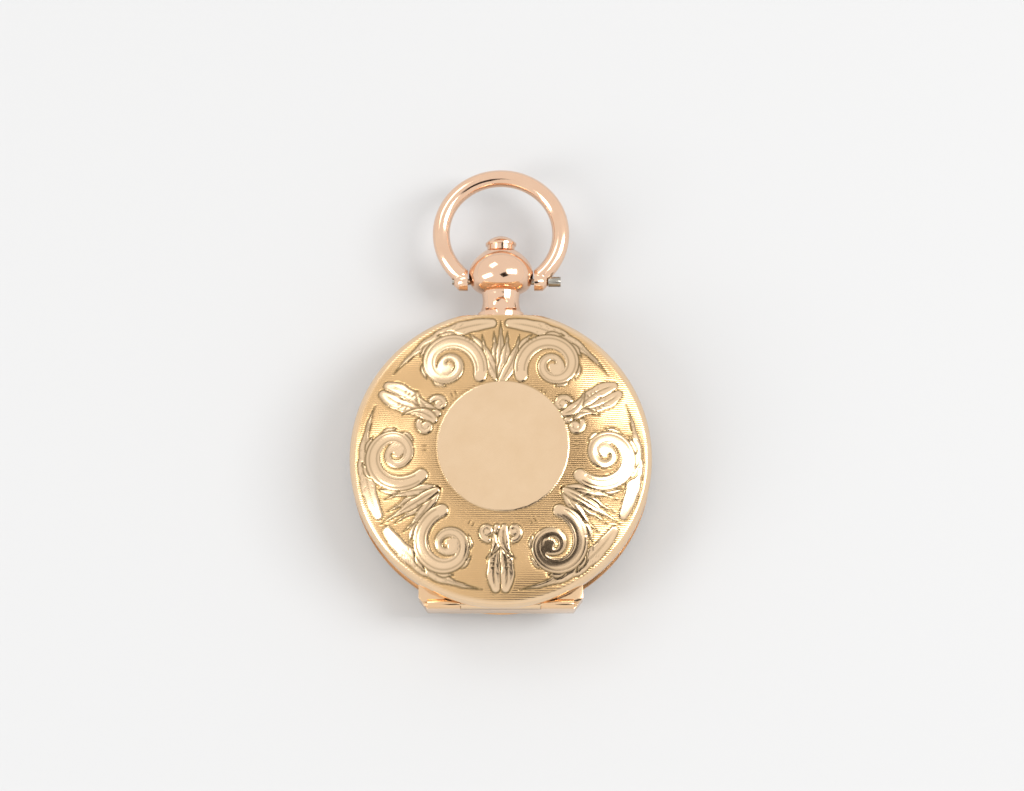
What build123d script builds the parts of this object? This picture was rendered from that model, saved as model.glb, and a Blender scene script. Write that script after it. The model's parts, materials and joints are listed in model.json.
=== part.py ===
"""Lady's full-hunter key-wind fob watch, as an assembly of separate pieces.

Frame, in millimetres: +Z out of the front cover, +Y from the dial's centre to the pendant (12 o'clock),
+X to 3 o'clock. The origin is on the back cover's flat rest disc, on the dial's axis.
"""

import os
from math import asin, atan, atan2, cos, hypot, pi, radians, sin, tan

from build123d import *

# ---- Case
CASE_R = 17.0            # radius over the covers
CASE_T = 11.6            # thickness over both covers
COVER_DEPTH = 4.0        # each cover, from its flat to the joint with the band
COVER_WALL = 0.45
COVER_FLAT_R = 7.2       # flat disc in the middle of each cover
COVER_RIM_Z = 3.2        # height at which the dome meets the straight rim
COVER_RIM_ROUND = 1.2
COVER_GAP = 0.03         # between a closed cover and the band
BAND_R = 16.65
BAND_WALL = 0.65
FRONT_FLANGE_T = 0.6
FRONT_FLANGE_R = 14.25   # inner radius, which the movement passes
BACK_FLANGE_T = 1.2
BACK_FLANGE_R = 13.5     # inner radius, which the main plate rests over
COVER_TOP_Y = 16.3       # both covers end in a straight edge in front of the pendant

# ---- Hinges
HINGE_Y = -16.4
KNUCKLE_R = 0.55
KNUCKLE_CLEAR = 0.08
PIN_R = 0.25
PIN_CLEAR = 0.03
HINGE_HALF = 9.2         # half the length of both hinges
HINGE_SLANT = 1.0        # how far the ends of the hinge block slope
FRONT_KNUCKLE_HALF = 4.5
BACK_KNUCKLE_HALF = 3.2
CUVETTE_KNUCKLE_END = 6.15
END_GAP = 0.05           # between neighbouring knuckles

# ---- Pendant, bow and push piece
NECK_R = 2.2
COLLAR_R = 2.6
COLLAR_TOP_Y = 17.4
NECK_TOP_Y = 19.6
NECK_PLUG_R = 1.6
NECK_NOTCH_R = 0.8
BALL_R = 3.68
BALL_Y = 21.6
BALL_TOP_Y = 24.45
BALL_TOP_R = 1.85
BORE_R = 1.05
BOW_PIVOT_Y = 20.9
BOW_CENTRE_Y = 26.5
BOW_WIRE_R = 0.97
BOW_HALF_WIDTH = 6.83    # to the middle of the wire
BOW_SIDE_R = 6.3
BOW_END_X = 4.55
BOW_EYE_R = 1.05
BOW_EYE_IN = 3.78
BOW_EYE_OUT = 5.35
BOW_EYE_CHAMFER = 0.6    # the eyes taper on their outer side
BOW_SCREW_R = 0.35
BOW_SCREW_HEAD_R = 0.58
BOW_SCREW_HEAD_L = 1.4
BUTTON_R = 1.75
BUTTON_Y = 25.1
BUTTON_TOP_Y = 26.2
BUTTON_SKIRT_R = 1.55
PUSH_ROD_R = 0.98
PUSH_TRAVEL = 0.5
SPRING_FACE_Y = 15.6     # outer face of the lock spring, which the push rod meets
NOSE_T = 0.4             # the lock spring's catch nose
NOSE_TRAVEL = 0.53       # of the nose's far corner, with the button pushed home

# ---- Glass, dial and hands
BEZEL_R = 15.0
BEZEL_IN_R = 13.9
BEZEL_H = 1.2
CRYSTAL_R = 14.27
CRYSTAL_RISE = 2.3       # top of the glass over the front joint
CRYSTAL_T = 0.8
DIAL_R = 13.8
DIAL_T = 0.55
MINUTE_HAND_L = 11.3
HOUR_HAND_L = 7.6
CANNON_R = 0.62           # pipe of the cannon pinion
HOUR_PIPE_R = 0.95        # pipe of the hour wheel
HAND_T = 0.14

# ---- Movement
PLATE_R = 14.1
PLATE_T = 1.2
RECESS_DEPTH = 0.6       # on the dial side, for the motion work
CUVETTE_R = 15.1
CUVETTE_WALL = 0.35
CUVETTE_FLAT_R = 11.0
CUVETTE_Z = 1.1
BRIDGE_Z = 2.2           # outer face of the barrel, centre, third and fourth bridges
BRIDGE_T = 0.9
COCK_T = 0.35            # the low escape cock under the balance
BALANCE_COCK_Z = 1.8
BALANCE_COCK_T = 0.45
ARBOR_R = 0.25
CENTRE_PIVOT_R = 0.56
CENTRE_BORE_R = 0.4
SET_ARBOR_R = 0.36
BARREL_PIVOT_R = 0.7
SQUARE_SIDE = 0.9         # winding square; the setting square is smaller
SET_SQUARE_SIDE = 0.5
PIVOT_R = 0.12
PIVOT_CLEAR = 0.04
JEWEL_R = 0.5
SCREW_R = 0.35
SCREW_HEAD_R = 0.6
SCREW_HEAD_H = 0.25
BALANCE_R = 3.9
BALANCE_RIM = 0.55
CYLINDER_R = 0.34
CYLINDER_IN_R = 0.25
ESCAPE_TEETH = 15
ESCAPE_R = 2.2

# teeth and modules of the train and the motion work
BARREL_TEETH, CENTRE_LEAVES, BARREL_MODULE = 70, 10, 0.15
CENTRE_TEETH, THIRD_LEAVES, CENTRE_MODULE = 64, 8, 0.12
THIRD_TEETH, FOURTH_LEAVES, THIRD_MODULE = 60, 8, 0.11
FOURTH_TEETH, ESCAPE_LEAVES, FOURTH_MODULE = 60, 6, 0.1
MINUTE_TEETH, CANNON_LEAVES, HOUR_TEETH, MINUTE_LEAVES, MOTION_MODULE = 30, 10, 32, 8, 0.12
RATCHET_TEETH = 24
RATCHET_R = 2.3

# ---- Worked-out levels
MID_Z = CASE_T / 2
BACK_JOINT_Z = COVER_DEPTH
FRONT_JOINT_Z = CASE_T - COVER_DEPTH
CRYSTAL_TOP_Z = FRONT_JOINT_Z + CRYSTAL_RISE
PLATE_Z = BACK_JOINT_Z + BACK_FLANGE_T
DIAL_Z = PLATE_Z + PLATE_T
RECESS_Z = DIAL_Z - RECESS_DEPTH
BRIDGE_FRONT_Z = BRIDGE_Z + BRIDGE_T
BALANCE_Z = BALANCE_COCK_Z + BALANCE_COCK_T + 0.35
ESCAPE_COCK_Z = BALANCE_Z + 0.4
COCK_FRONT_Z = ESCAPE_COCK_Z + COCK_T
CENTRE_WHEEL_Z = PLATE_Z - 0.45
THIRD_WHEEL_Z = CENTRE_WHEEL_Z - 0.85
FOURTH_WHEEL_Z = COCK_FRONT_Z + 0.15
DRUM_Z = BRIDGE_FRONT_Z + 0.15
DRUM_H = CENTRE_WHEEL_Z - 0.15 - DRUM_Z
KEY_SQUARE_Z = CUVETTE_Z + CUVETTE_WALL + 0.12
HOUR_HAND_Z = DIAL_Z + DIAL_T + 0.3
MINUTE_HAND_Z = HOUR_HAND_Z + 0.45
WHEEL_T = 0.18


def polar(radius, degrees_, start=(0, 0)):
    """The point at a distance and an angle from start, seen from the front."""
    return (start[0] + radius * cos(radians(degrees_)), start[1] + radius * sin(radians(degrees_)))


# ---- Plan of the movement
BARREL_AT_DEG, THIRD_AT_DEG, FOURTH_AT_DEG, ESCAPE_AT_DEG, BALANCE_AT_DEG = 58, 190, -95, -20, -8
MINUTE_AT_DEG = -60
CENTRE = (0, 0)
BARREL = polar(BARREL_MODULE * (BARREL_TEETH + CENTRE_LEAVES) / 2, BARREL_AT_DEG)
THIRD = polar(CENTRE_MODULE * (CENTRE_TEETH + THIRD_LEAVES) / 2, THIRD_AT_DEG)
FOURTH = polar(THIRD_MODULE * (THIRD_TEETH + FOURTH_LEAVES) / 2, FOURTH_AT_DEG, THIRD)
ESCAPE = polar(FOURTH_MODULE * (FOURTH_TEETH + ESCAPE_LEAVES) / 2, ESCAPE_AT_DEG, FOURTH)
BALANCE = polar(ESCAPE_R, BALANCE_AT_DEG, ESCAPE)
MINUTE = polar(MOTION_MODULE * (MINUTE_TEETH + CANNON_LEAVES) / 2, MINUTE_AT_DEG)
BARREL_TIP_R = BARREL_MODULE * (BARREL_TEETH / 2 + 0.9)

# feet of the bridges and cocks, and their screws
FOOT_R = 1.1
BARREL_FEET = [polar(BARREL_TIP_R + FOOT_R + 0.4, BARREL_AT_DEG + side * 90, BARREL) for side in (-1, 1)]
CENTRE_FOOT = polar(8.6, 130)
THIRD_FOOT = polar(THIRD_MODULE * THIRD_TEETH / 2 + FOOT_R + 0.4, 165, THIRD)
FOURTH_FOOT = polar(FOURTH_MODULE * FOURTH_TEETH / 2 + FOOT_R + 0.4, 200, FOURTH)
ESCAPE_FOOT = polar(ESCAPE_R + FOOT_R + 0.7, -100, ESCAPE)
BALANCE_FOOT = polar(BALANCE_R + FOOT_R + 0.5, -50, BALANCE)
CASE_SCREWS_AT = [polar(BACK_FLANGE_R - SCREW_R - 0.1, angle) for angle in (20, 200)]
DIAL_FEET_AT = [polar(PLATE_R - 2.1, angle) for angle in (100, 220, 340)]


# ---- Building blocks
def disc(radius, z0, z1, at=(0, 0)):
    """Upright cylinder between two heights."""
    return Pos(at[0], at[1], (z0 + z1) / 2) * Cylinder(radius, z1 - z0)


def ring(r_in, r_out, z0, z1, at=(0, 0)):
    return disc(r_out, z0, z1, at) - disc(r_in, z0 - 1, z1 + 1, at)


def block(x0, x1, y0, y1, z0, z1):
    return Pos((x0 + x1) / 2, (y0 + y1) / 2, (z0 + z1) / 2) * Box(x1 - x0, y1 - y0, z1 - z0)


def rod_x(radius, x0, x1, y, z):
    """Cylinder along X."""
    return Pos((x0 + x1) / 2, y, z) * Rot(0, 90, 0) * Cylinder(radius, x1 - x0)


def rod_y(radius, y0, y1, z=MID_Z):
    """Cylinder along Y, on the pendant's axis."""
    return Pos(0, (y0 + y1) / 2, z) * Rot(90, 0, 0) * Cylinder(radius, y1 - y0)


def both_sides(solid):
    """A solid and its mirror image across the pendant's plane."""
    return solid + mirror(solid, Plane.YZ)


def turned(*edges):
    """Solid turned about Z from a closed outline of (radius, height) edges."""
    return revolve(Plane.XZ * make_face(list(edges)), Axis.Z)


def turned_y(*edges):
    """Solid turned about the pendant's axis from a closed outline of (radius, Y) edges."""
    return Pos(0, 0, MID_Z) * revolve(make_face(list(edges)), Axis.Y)


def crown(radius, edge, top):
    """Arc of a round crown on the axis, from its edge at a radius up to its top."""
    rise = top - edge
    sphere_r = (radius**2 + rise**2) / (2 * rise)
    middle = top - sphere_r + (sphere_r**2 - radius**2 / 4) ** 0.5
    return ThreePointArc((radius, edge), (radius / 2, middle), (0, top))


def bar(start, end, radius, z0, z1):
    """Flat bar with round ends from one place of the plan to another."""
    length = hypot(end[0] - start[0], end[1] - start[1])
    turn = atan2(end[1] - start[1], end[0] - start[0]) * 180 / pi
    middle = Pos((start[0] + end[0]) / 2, (start[1] + end[1]) / 2, (z0 + z1) / 2)
    return middle * Rot(0, 0, turn) * Box(length, 2 * radius, z1 - z0) + disc(radius, z0, z1, start) + disc(
        radius, z0, z1, end)


def half_ring(r_in, r_out, z0, z1, x, upper):
    """Half of a flat ring, above or below the X axis."""
    half = block(x - r_out - 1, x + r_out + 1, 0, r_out + 1, z0 - 1, z1 + 1)
    if not upper:
        half = Rot(180, 0, 0) * Pos(0, 0, -(z0 + z1)) * half
    return ring(r_in, r_out, z0, z1, (x, 0)) & half


def spiral(r_start, pitch, half_turns, thickness, z0, z1, at):
    """Flat spiral spring of half circles, each a half pitch larger than the last."""
    coil = half_ring(r_start, r_start + thickness, z0, z1, 0, True)
    for step in range(1, half_turns):
        radius = r_start + step * pitch / 2
        coil += half_ring(radius, radius + thickness, z0, z1, pitch / 2 * (step % 2), step % 2 == 0)
    return Pos(at[0], at[1], 0) * coil


def toothed(teeth, module, z0, z1, at, phase=0.0, addendum=0.9, root=0.7, pitch_width=0.5, tip=0.15):
    """Solid toothed disc. A tooth's middle is at phase, in degrees; the widths are shares of half a pitch."""
    radius = module * teeth / 2
    steps = [(radius - 1.3 * module, -root), (radius, -pitch_width), (radius + addendum * module, -tip),
             (radius + addendum * module, tip), (radius, pitch_width), (radius - 1.3 * module, root)]
    points = []
    for tooth in range(teeth):
        middle = phase + tooth * 360 / teeth
        points += [polar(r, middle + width * 180 / teeth, at) for r, width in steps]
    return Pos(0, 0, z0) * extrude(make_face(Polyline(*points, close=True)), amount=z1 - z0)


def leaves(teeth, module, z0, z1, at, phase=0.0):
    """Pinion leaves, slimmer than wheel teeth so that there is play at every angle."""
    return toothed(teeth, module, z0, z1, at, phase, addendum=0.8, root=0.6, pitch_width=0.45)


def crossed_wheel(teeth, module, z0, at, phase, rim=0.45, hub=0.75, arms=4):
    """Train wheel: toothed rim, thin arms and a hub."""
    inner = module * teeth / 2 - 1.3 * module - rim
    wheel = toothed(teeth, module, z0, z0 + WHEEL_T, at, phase) - disc(inner, z0 - 1, z0 + 1, at)
    for arm in range(arms):
        end = polar(inner + rim / 2, phase + 45 + arm * 360 / arms, at)
        wheel += bar(at, end, 0.16, z0, z0 + WHEEL_T)
    return wheel + disc(hub, z0, z0 + WHEEL_T, at)


def mesh_phase(teeth, angle):
    """Phase that puts a gap, not a tooth, at an angle."""
    return angle + 180 / teeth


def arbor(at, z_low, body_z0, body_z1, z_high):
    """Turned arbor with a pivot at each end."""
    return disc(PIVOT_R, z_low, z_high, at) + disc(ARBOR_R, body_z0, body_z1, at)


def screw(at, z_head, z_end, head_r=SCREW_HEAD_R):
    """Slotted screw whose head stands out towards the back."""
    head = disc(head_r, z_head, z_head + SCREW_HEAD_H, at)
    head -= block(at[0] - 1, at[0] + 1, at[1] - 0.08, at[1] + 0.08, z_head - 1, z_head + 0.12)
    return head + disc(SCREW_R, z_head + SCREW_HEAD_H, z_end, at)


# ---- Case
def cover_body(inset):
    """Solid front cover reduced by inset all over: flat disc, dome, rounded rim, straight rim."""
    run = CASE_R - COVER_FLAT_R - COVER_RIM_ROUND
    half = atan((COVER_RIM_Z - COVER_RIM_ROUND) / run)
    dome_r = run / sin(2 * half) + COVER_RIM_ROUND - inset
    dome_z = CASE_T - inset - dome_r
    slope = 2 * half * 180 / pi
    corner_r = COVER_FLAT_R + dome_r * tan(half)
    dome_end = (COVER_FLAT_R + dome_r * sin(2 * half), dome_z + dome_r * cos(2 * half))
    rim_z = CASE_T - COVER_RIM_Z
    rim_r = COVER_RIM_ROUND - inset
    joint = FRONT_JOINT_Z + COVER_GAP
    foot = joint - (1 if inset else 0)
    return turned(
        Line((0, foot), (0, CASE_T - inset)),
        Line((0, CASE_T - inset), (COVER_FLAT_R, CASE_T - inset)),
        Bezier((COVER_FLAT_R, CASE_T - inset), (corner_r, CASE_T - inset), dome_end),
        CenterArc((CASE_R - COVER_RIM_ROUND, rim_z), rim_r, 90 - slope, slope - 90),
        Line((CASE_R - inset, rim_z), (CASE_R - inset, foot)),
        Line((CASE_R - inset, foot), (0, foot)),
    )


def cover_shell():
    """Front cover without its knuckle, clear of the hinge and the pendant."""
    before_pendant = block(-20, 20, -20, COVER_TOP_Y, 0, 20)
    inside = block(-20, 20, -20, COVER_TOP_Y - COVER_WALL, 0, 20)
    shell = (cover_body(0) & before_pendant) - (cover_body(COVER_WALL) & inside)
    clear_r = KNUCKLE_R + KNUCKLE_CLEAR
    clear_half = HINGE_HALF + 0.1
    shell -= rod_x(clear_r, -clear_half, clear_half, HINGE_Y, FRONT_JOINT_Z)
    return shell - block(-clear_half, clear_half, -20, HINGE_Y, 0, FRONT_JOINT_Z + clear_r)


def cover_knuckle(x0, x1):
    """Middle knuckle of the front cover, with the web that carries it."""
    web_y, web_z = HINGE_Y + KNUCKLE_R + 0.12, FRONT_JOINT_Z + 1.1
    root_z = FRONT_JOINT_Z + KNUCKLE_R + KNUCKLE_CLEAR + 0.04
    root = block(x0, x1, -CASE_R, web_y, root_z, web_z) & cover_body(COVER_WALL / 4)
    web = root + block(x0, x1, HINGE_Y + 0.06, web_y, FRONT_JOINT_Z + COVER_GAP, web_z)
    knuckle = rod_x(KNUCKLE_R, x0, x1, HINGE_Y, FRONT_JOINT_Z) + web
    return knuckle - rod_x(PIN_R + PIN_CLEAR, x0 - 1, x1 + 1, HINGE_Y, FRONT_JOINT_Z)


def make_front_cover():
    half = FRONT_KNUCKLE_HALF - END_GAP
    lip_z = FRONT_JOINT_Z + 0.35
    lip = block(-1.2, 1.2, SPRING_FACE_Y, COVER_TOP_Y - COVER_WALL, lip_z, lip_z + 0.3)
    return cover_shell() + cover_knuckle(-half, half) + lip


def make_back_cover():
    half = BACK_KNUCKLE_HALF - END_GAP
    cover = cover_shell()
    slot = block(BACK_KNUCKLE_HALF, CUVETTE_KNUCKLE_END, -20, -13, 0, FRONT_JOINT_Z + 0.8)
    cover = cover - both_sides(slot) + cover_knuckle(-half, half)
    return mirror(cover, Plane.XY.offset(MID_Z))


def make_case_band():
    wall_in = BAND_R - BAND_WALL
    band = ring(wall_in, BAND_R, BACK_JOINT_Z, FRONT_JOINT_Z)
    band += ring(FRONT_FLANGE_R, wall_in + 0.1, FRONT_JOINT_Z - FRONT_FLANGE_T, FRONT_JOINT_Z)
    band += ring(BACK_FLANGE_R, wall_in + 0.1, BACK_JOINT_Z, BACK_JOINT_Z + BACK_FLANGE_T)
    face_y = HINGE_Y - KNUCKLE_R
    back_y = face_y + 3.2
    foot = HINGE_HALF - HINGE_SLANT
    plan = Polyline((-HINGE_HALF, back_y), (-HINGE_HALF, face_y + 1.3), (-foot, face_y), (foot, face_y),
                    (HINGE_HALF, face_y + 1.3), (HINGE_HALF, back_y), close=True)
    hinge_block = Pos(0, 0, BACK_JOINT_Z) * extrude(make_face(plan), amount=FRONT_JOINT_Z - BACK_JOINT_Z)
    band += hinge_block - disc(wall_in, 0, CASE_T)
    clear_r = KNUCKLE_R + KNUCKLE_CLEAR
    hinges = ((FRONT_JOINT_Z, FRONT_KNUCKLE_HALF), (BACK_JOINT_Z, CUVETTE_KNUCKLE_END))
    for joint_z, middle in hinges:
        band -= rod_x(clear_r, -middle, middle, HINGE_Y, joint_z)
        band += both_sides(rod_x(KNUCKLE_R, middle + END_GAP, HINGE_HALF - HINGE_SLANT, HINGE_Y, joint_z))
        band -= rod_x(PIN_R, -HINGE_HALF - 1, HINGE_HALF + 1, HINGE_Y, joint_z)
    band -= rod_y(NECK_PLUG_R, wall_in - 2, BAND_R + 1)
    slot = block(-1.3, 1.3, SPRING_FACE_Y - 1.4, SPRING_FACE_Y + 0.1, PLATE_Z, FRONT_JOINT_Z + 1)
    band -= slot
    for at in SPRING_SCREWS_AT:
        band -= disc(SCREW_R, 0, FRONT_JOINT_Z - FRONT_FLANGE_T, at)
        band -= disc(SCREW_HEAD_R, 0, BACK_JOINT_Z + SCREW_HEAD_H, at)
    lift_slot = strip(SPRING_R - 0.5, SPRING_R + 0.6, FRONT_JOINT_Z - 1, FRONT_JOINT_Z + 1, 249, 257)
    return band - lift_slot


def strip(r_in, r_out, z0, z1, from_deg, to_deg):
    """Curved strip about the dial's axis between two angles, less than half a turn apart."""
    far = r_out * 2
    corners = [(0, 0), polar(far, from_deg), polar(far, (from_deg + to_deg) / 2), polar(far, to_deg)]
    wedge = Pos(0, 0, z0) * extrude(make_face(Polyline(*corners, close=True)), amount=z1 - z0)
    return ring(r_in, r_out, z0, z1) & wedge


SPRING_R = SPRING_FACE_Y - 0.35      # inner face of both case springs
LOCK_PIVOT = polar(SPRING_R + 0.1, 125)
LIFT_FOOT = polar(SPRING_R + 0.1, 205)
SPRING_SCREWS_AT = [LOCK_PIVOT, LIFT_FOOT]


def make_pendant_neck():
    neck = turned_y(
        Line((BORE_R, 15.75), (NECK_PLUG_R, 15.75)),
        Line((NECK_PLUG_R, 15.75), (NECK_PLUG_R, COVER_TOP_Y + 0.1)),
        Line((NECK_PLUG_R, COVER_TOP_Y + 0.1), (COLLAR_R, COVER_TOP_Y + 0.1)),
        Line((COLLAR_R, COVER_TOP_Y + 0.1), (COLLAR_R, COLLAR_TOP_Y - 0.25)),
        Line((COLLAR_R, COLLAR_TOP_Y - 0.25), (NECK_R + 0.12, COLLAR_TOP_Y)),
        ThreePointArc((NECK_R + 0.12, COLLAR_TOP_Y), (NECK_R - 0.12, (COLLAR_TOP_Y + NECK_TOP_Y) / 2),
                      (NECK_R, NECK_TOP_Y)),
        Line((NECK_R, NECK_TOP_Y), (BORE_R, NECK_TOP_Y)),
        Line((BORE_R, NECK_TOP_Y), (BORE_R, 15.75)),
    )
    neck -= ring(BAND_R - BAND_WALL, BAND_R, BACK_JOINT_Z, FRONT_JOINT_Z) - rod_y(NECK_PLUG_R, 10, 20)
    return neck - disc(NECK_NOTCH_R, MID_Z + 1.35, CASE_T, (0, COLLAR_TOP_Y + NECK_NOTCH_R * 0.6))


def make_pendant_ball():
    ball = turned_y(
        Line((BORE_R, NECK_TOP_Y), (NECK_R, NECK_TOP_Y)),
        Spline((NECK_R, NECK_TOP_Y), (BALL_R, BALL_Y), (BALL_TOP_R, BALL_TOP_Y), tangents=((1, 0.3), (-1, 0.7))),
        Line((BALL_TOP_R, BALL_TOP_Y), (BUTTON_SKIRT_R + 0.05, BALL_TOP_Y)),
        Line((BUTTON_SKIRT_R + 0.05, BALL_TOP_Y), (BUTTON_SKIRT_R + 0.05, BALL_TOP_Y - 1.2)),
        Line((BUTTON_SKIRT_R + 0.05, BALL_TOP_Y - 1.2), (BORE_R, BALL_TOP_Y - 1.2)),
        Line((BORE_R, BALL_TOP_Y - 1.2), (BORE_R, NECK_TOP_Y)),
    )
    return ball - rod_x(BOW_SCREW_R, -6, 6, BOW_PIVOT_Y, MID_Z)


def make_bow():
    """Three-centred oval ring that opens at the ball and ends in two eyes."""
    shift = BOW_HALF_WIDTH - BOW_SIDE_R
    end_r = BOW_SIDE_R + shift / sin(pi / 4)
    low_centre, high_centre = BOW_CENTRE_Y + shift, BOW_CENTRE_Y - shift
    reach = asin(BOW_END_X / end_r) * 180 / pi
    path = Wire([
        CenterArc((0, low_centre), end_r, -90 + reach, 45 - reach).edge(),
        CenterArc((shift, BOW_CENTRE_Y), BOW_SIDE_R, -45, 90).edge(),
        CenterArc((0, high_centre), end_r, 45, 90).edge(),
        CenterArc((-shift, BOW_CENTRE_Y), BOW_SIDE_R, 135, 90).edge(),
        CenterArc((0, low_centre), end_r, 225, 45 - reach).edge(),
    ])
    wire = sweep(Plane(path @ 0, z_dir=path % 0) * Circle(BOW_WIRE_R), path)
    eye = rod_x(BOW_EYE_R, BOW_EYE_IN, BOW_EYE_OUT, BOW_PIVOT_Y, MID_Z)
    eye = chamfer(eye.edges().group_by(Axis.X)[-1], BOW_EYE_CHAMFER)
    wire_end = Pos(*(path @ 1)) * Sphere(BOW_WIRE_R)
    inner = block(-BOW_EYE_IN, BOW_EYE_IN, BOW_PIVOT_Y - 3, BOW_PIVOT_Y + 3, -3, 3)
    bow = Pos(0, 0, MID_Z) * wire + both_sides(eye) + Pos(0, 0, MID_Z) * both_sides(wire_end - inner)
    bow -= rod_x(BOW_SCREW_R + 0.05, -8, 8, BOW_PIVOT_Y, MID_Z)
    return bow - rod_x(BOW_SCREW_HEAD_R + 0.08, BOW_EYE_OUT, 9, BOW_PIVOT_Y, MID_Z)


def make_bow_screw():
    head_x = BOW_EYE_OUT + 0.05
    shank = rod_x(BOW_SCREW_R, -BOW_EYE_OUT - 0.2, head_x, BOW_PIVOT_Y, MID_Z)
    head = rod_x(BOW_SCREW_HEAD_R, head_x, head_x + BOW_SCREW_HEAD_L, BOW_PIVOT_Y, MID_Z)
    end = head_x + BOW_SCREW_HEAD_L
    slot = block(end - 0.3, end + 1, BOW_PIVOT_Y - 1, BOW_PIVOT_Y + 1, MID_Z - 0.1, MID_Z + 0.1)
    return shank + head - slot


def make_push_piece():
    """Button and rod. The bow screw passes through a slot in the rod, and so keeps it in the pendant."""
    rod_end = SPRING_FACE_Y + 0.02
    skirt_end = BALL_TOP_Y - 0.55
    piece = turned_y(
        Line((0, rod_end), (PUSH_ROD_R, rod_end)),
        Line((PUSH_ROD_R, rod_end), (PUSH_ROD_R, skirt_end)),
        Line((PUSH_ROD_R, skirt_end), (BUTTON_SKIRT_R, skirt_end)),
        Line((BUTTON_SKIRT_R, skirt_end), (BUTTON_SKIRT_R, BUTTON_Y)),
        Line((BUTTON_SKIRT_R, BUTTON_Y), (BUTTON_R, BUTTON_Y)),
        Line((BUTTON_R, BUTTON_Y), (BUTTON_R, BUTTON_Y + 0.25)),
        crown(BUTTON_R, BUTTON_Y + 0.25, BUTTON_TOP_Y),
        Line((0, BUTTON_TOP_Y), (0, rod_end)),
    )
    half = BOW_SCREW_R + 0.05
    return piece - block(-2, 2, BOW_PIVOT_Y - half, BOW_PIVOT_Y + half + PUSH_TRAVEL, MID_Z - half, MID_Z + half)


def make_lock_spring():
    """Curved spring with the catch nose that holds the front cover's lip."""
    z0, z1 = PLATE_Z + 0.3, FRONT_JOINT_Z - FRONT_FLANGE_T - 0.1
    spring = strip(SPRING_R, SPRING_FACE_Y, z0, z1, 86, 124) + disc(0.65, z0, z1, LOCK_PIVOT)
    nose_top = FRONT_JOINT_Z + 0.95
    spring += block(-0.9, 0.9, SPRING_FACE_Y - NOSE_T, SPRING_FACE_Y - 0.04, z0, nose_top)
    return spring - disc(SCREW_R + 0.04, 0, CASE_T, LOCK_PIVOT)


def make_lift_spring():
    """Curved spring whose finger comes up beside the hinge under the front cover."""
    z0, z1 = PLATE_Z + 0.3, FRONT_JOINT_Z - FRONT_FLANGE_T - 0.1
    spring = strip(SPRING_R, SPRING_FACE_Y, z0, z1, 206, 255) + disc(0.65, z0, z1, LIFT_FOOT)
    spring += strip(SPRING_R, SPRING_FACE_Y, z0, FRONT_JOINT_Z + 0.1, 251, 255)
    return spring - disc(SCREW_R, 0, CASE_T, LIFT_FOOT)


def make_spring_screws():
    end = FRONT_JOINT_Z - FRONT_FLANGE_T
    return [screw(at, BACK_JOINT_Z, end) for at in SPRING_SCREWS_AT]


def make_front_hinge_pin():
    half = HINGE_HALF - HINGE_SLANT - 0.05
    return rod_x(PIN_R, -half, half, HINGE_Y, FRONT_JOINT_Z)


def make_back_hinge_pin():
    half = HINGE_HALF - HINGE_SLANT - 0.05
    return rod_x(PIN_R, -half, half, HINGE_Y, BACK_JOINT_Z)


def make_cuvette():
    """Inner dust cover, domed over the movement, with two key holes."""
    top = BACK_JOINT_Z - 0.05
    outer_z, inner_z = CUVETTE_Z, CUVETTE_Z + CUVETTE_WALL
    inner_r = CUVETTE_R - CUVETTE_WALL
    shell = turned(
        Line((0, outer_z), (CUVETTE_FLAT_R, outer_z)),
        ThreePointArc((CUVETTE_FLAT_R, outer_z), (CUVETTE_R - 1.7, outer_z + 0.62), (CUVETTE_R, outer_z + 2.1)),
        Line((CUVETTE_R, outer_z + 2.1), (CUVETTE_R, top)),
        Line((CUVETTE_R, top), (inner_r, top)),
        Line((inner_r, top), (inner_r, inner_z + 1.9)),
        ThreePointArc((inner_r, inner_z + 1.9), (inner_r - 1.5, inner_z + 0.58), (CUVETTE_FLAT_R, inner_z)),
        Line((CUVETTE_FLAT_R, inner_z), (0, inner_z)),
        Line((0, inner_z), (0, outer_z)),
    )
    x0, x1 = BACK_KNUCKLE_HALF + END_GAP, CUVETTE_KNUCKLE_END - END_GAP
    arm = block(x0, x1, HINGE_Y, -inner_r + 1.2, top - 0.5, top) - disc(inner_r, 0, CASE_T)
    arm += rod_x(KNUCKLE_R, x0, x1, HINGE_Y, BACK_JOINT_Z)
    arm -= rod_x(PIN_R + PIN_CLEAR, x0 - 1, x1 + 1, HINGE_Y, BACK_JOINT_Z)
    holes = disc(0.95, 0, inner_z + 1) + disc(1.05, 0, inner_z + 1, BARREL)
    return shell + both_sides(arm) - holes


# ---- Glass, dial and hands
def make_glass_bezel():
    base = FRONT_JOINT_Z
    bezel = turned(*Polyline(
        (FRONT_FLANGE_R - 0.03, base), (BEZEL_R, base), (BEZEL_R, base + BEZEL_H * 0.55),
        (BEZEL_R - 0.45, base + BEZEL_H), (CRYSTAL_R - 0.3, base + BEZEL_H), (CRYSTAL_R - 0.3, base + 0.83),
        (CRYSTAL_R + 0.03, base + 0.83), (CRYSTAL_R + 0.03, base + 0.35), (BEZEL_IN_R, base + 0.35),
        (BEZEL_IN_R, base - 0.55), (FRONT_FLANGE_R - 0.03, base - 0.55), close=True).edges())
    nose_y = SPRING_FACE_Y - NOSE_T - NOSE_TRAVEL - 0.07
    return bezel - block(-2, 2, nose_y, CASE_R, base, CASE_T)


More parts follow.
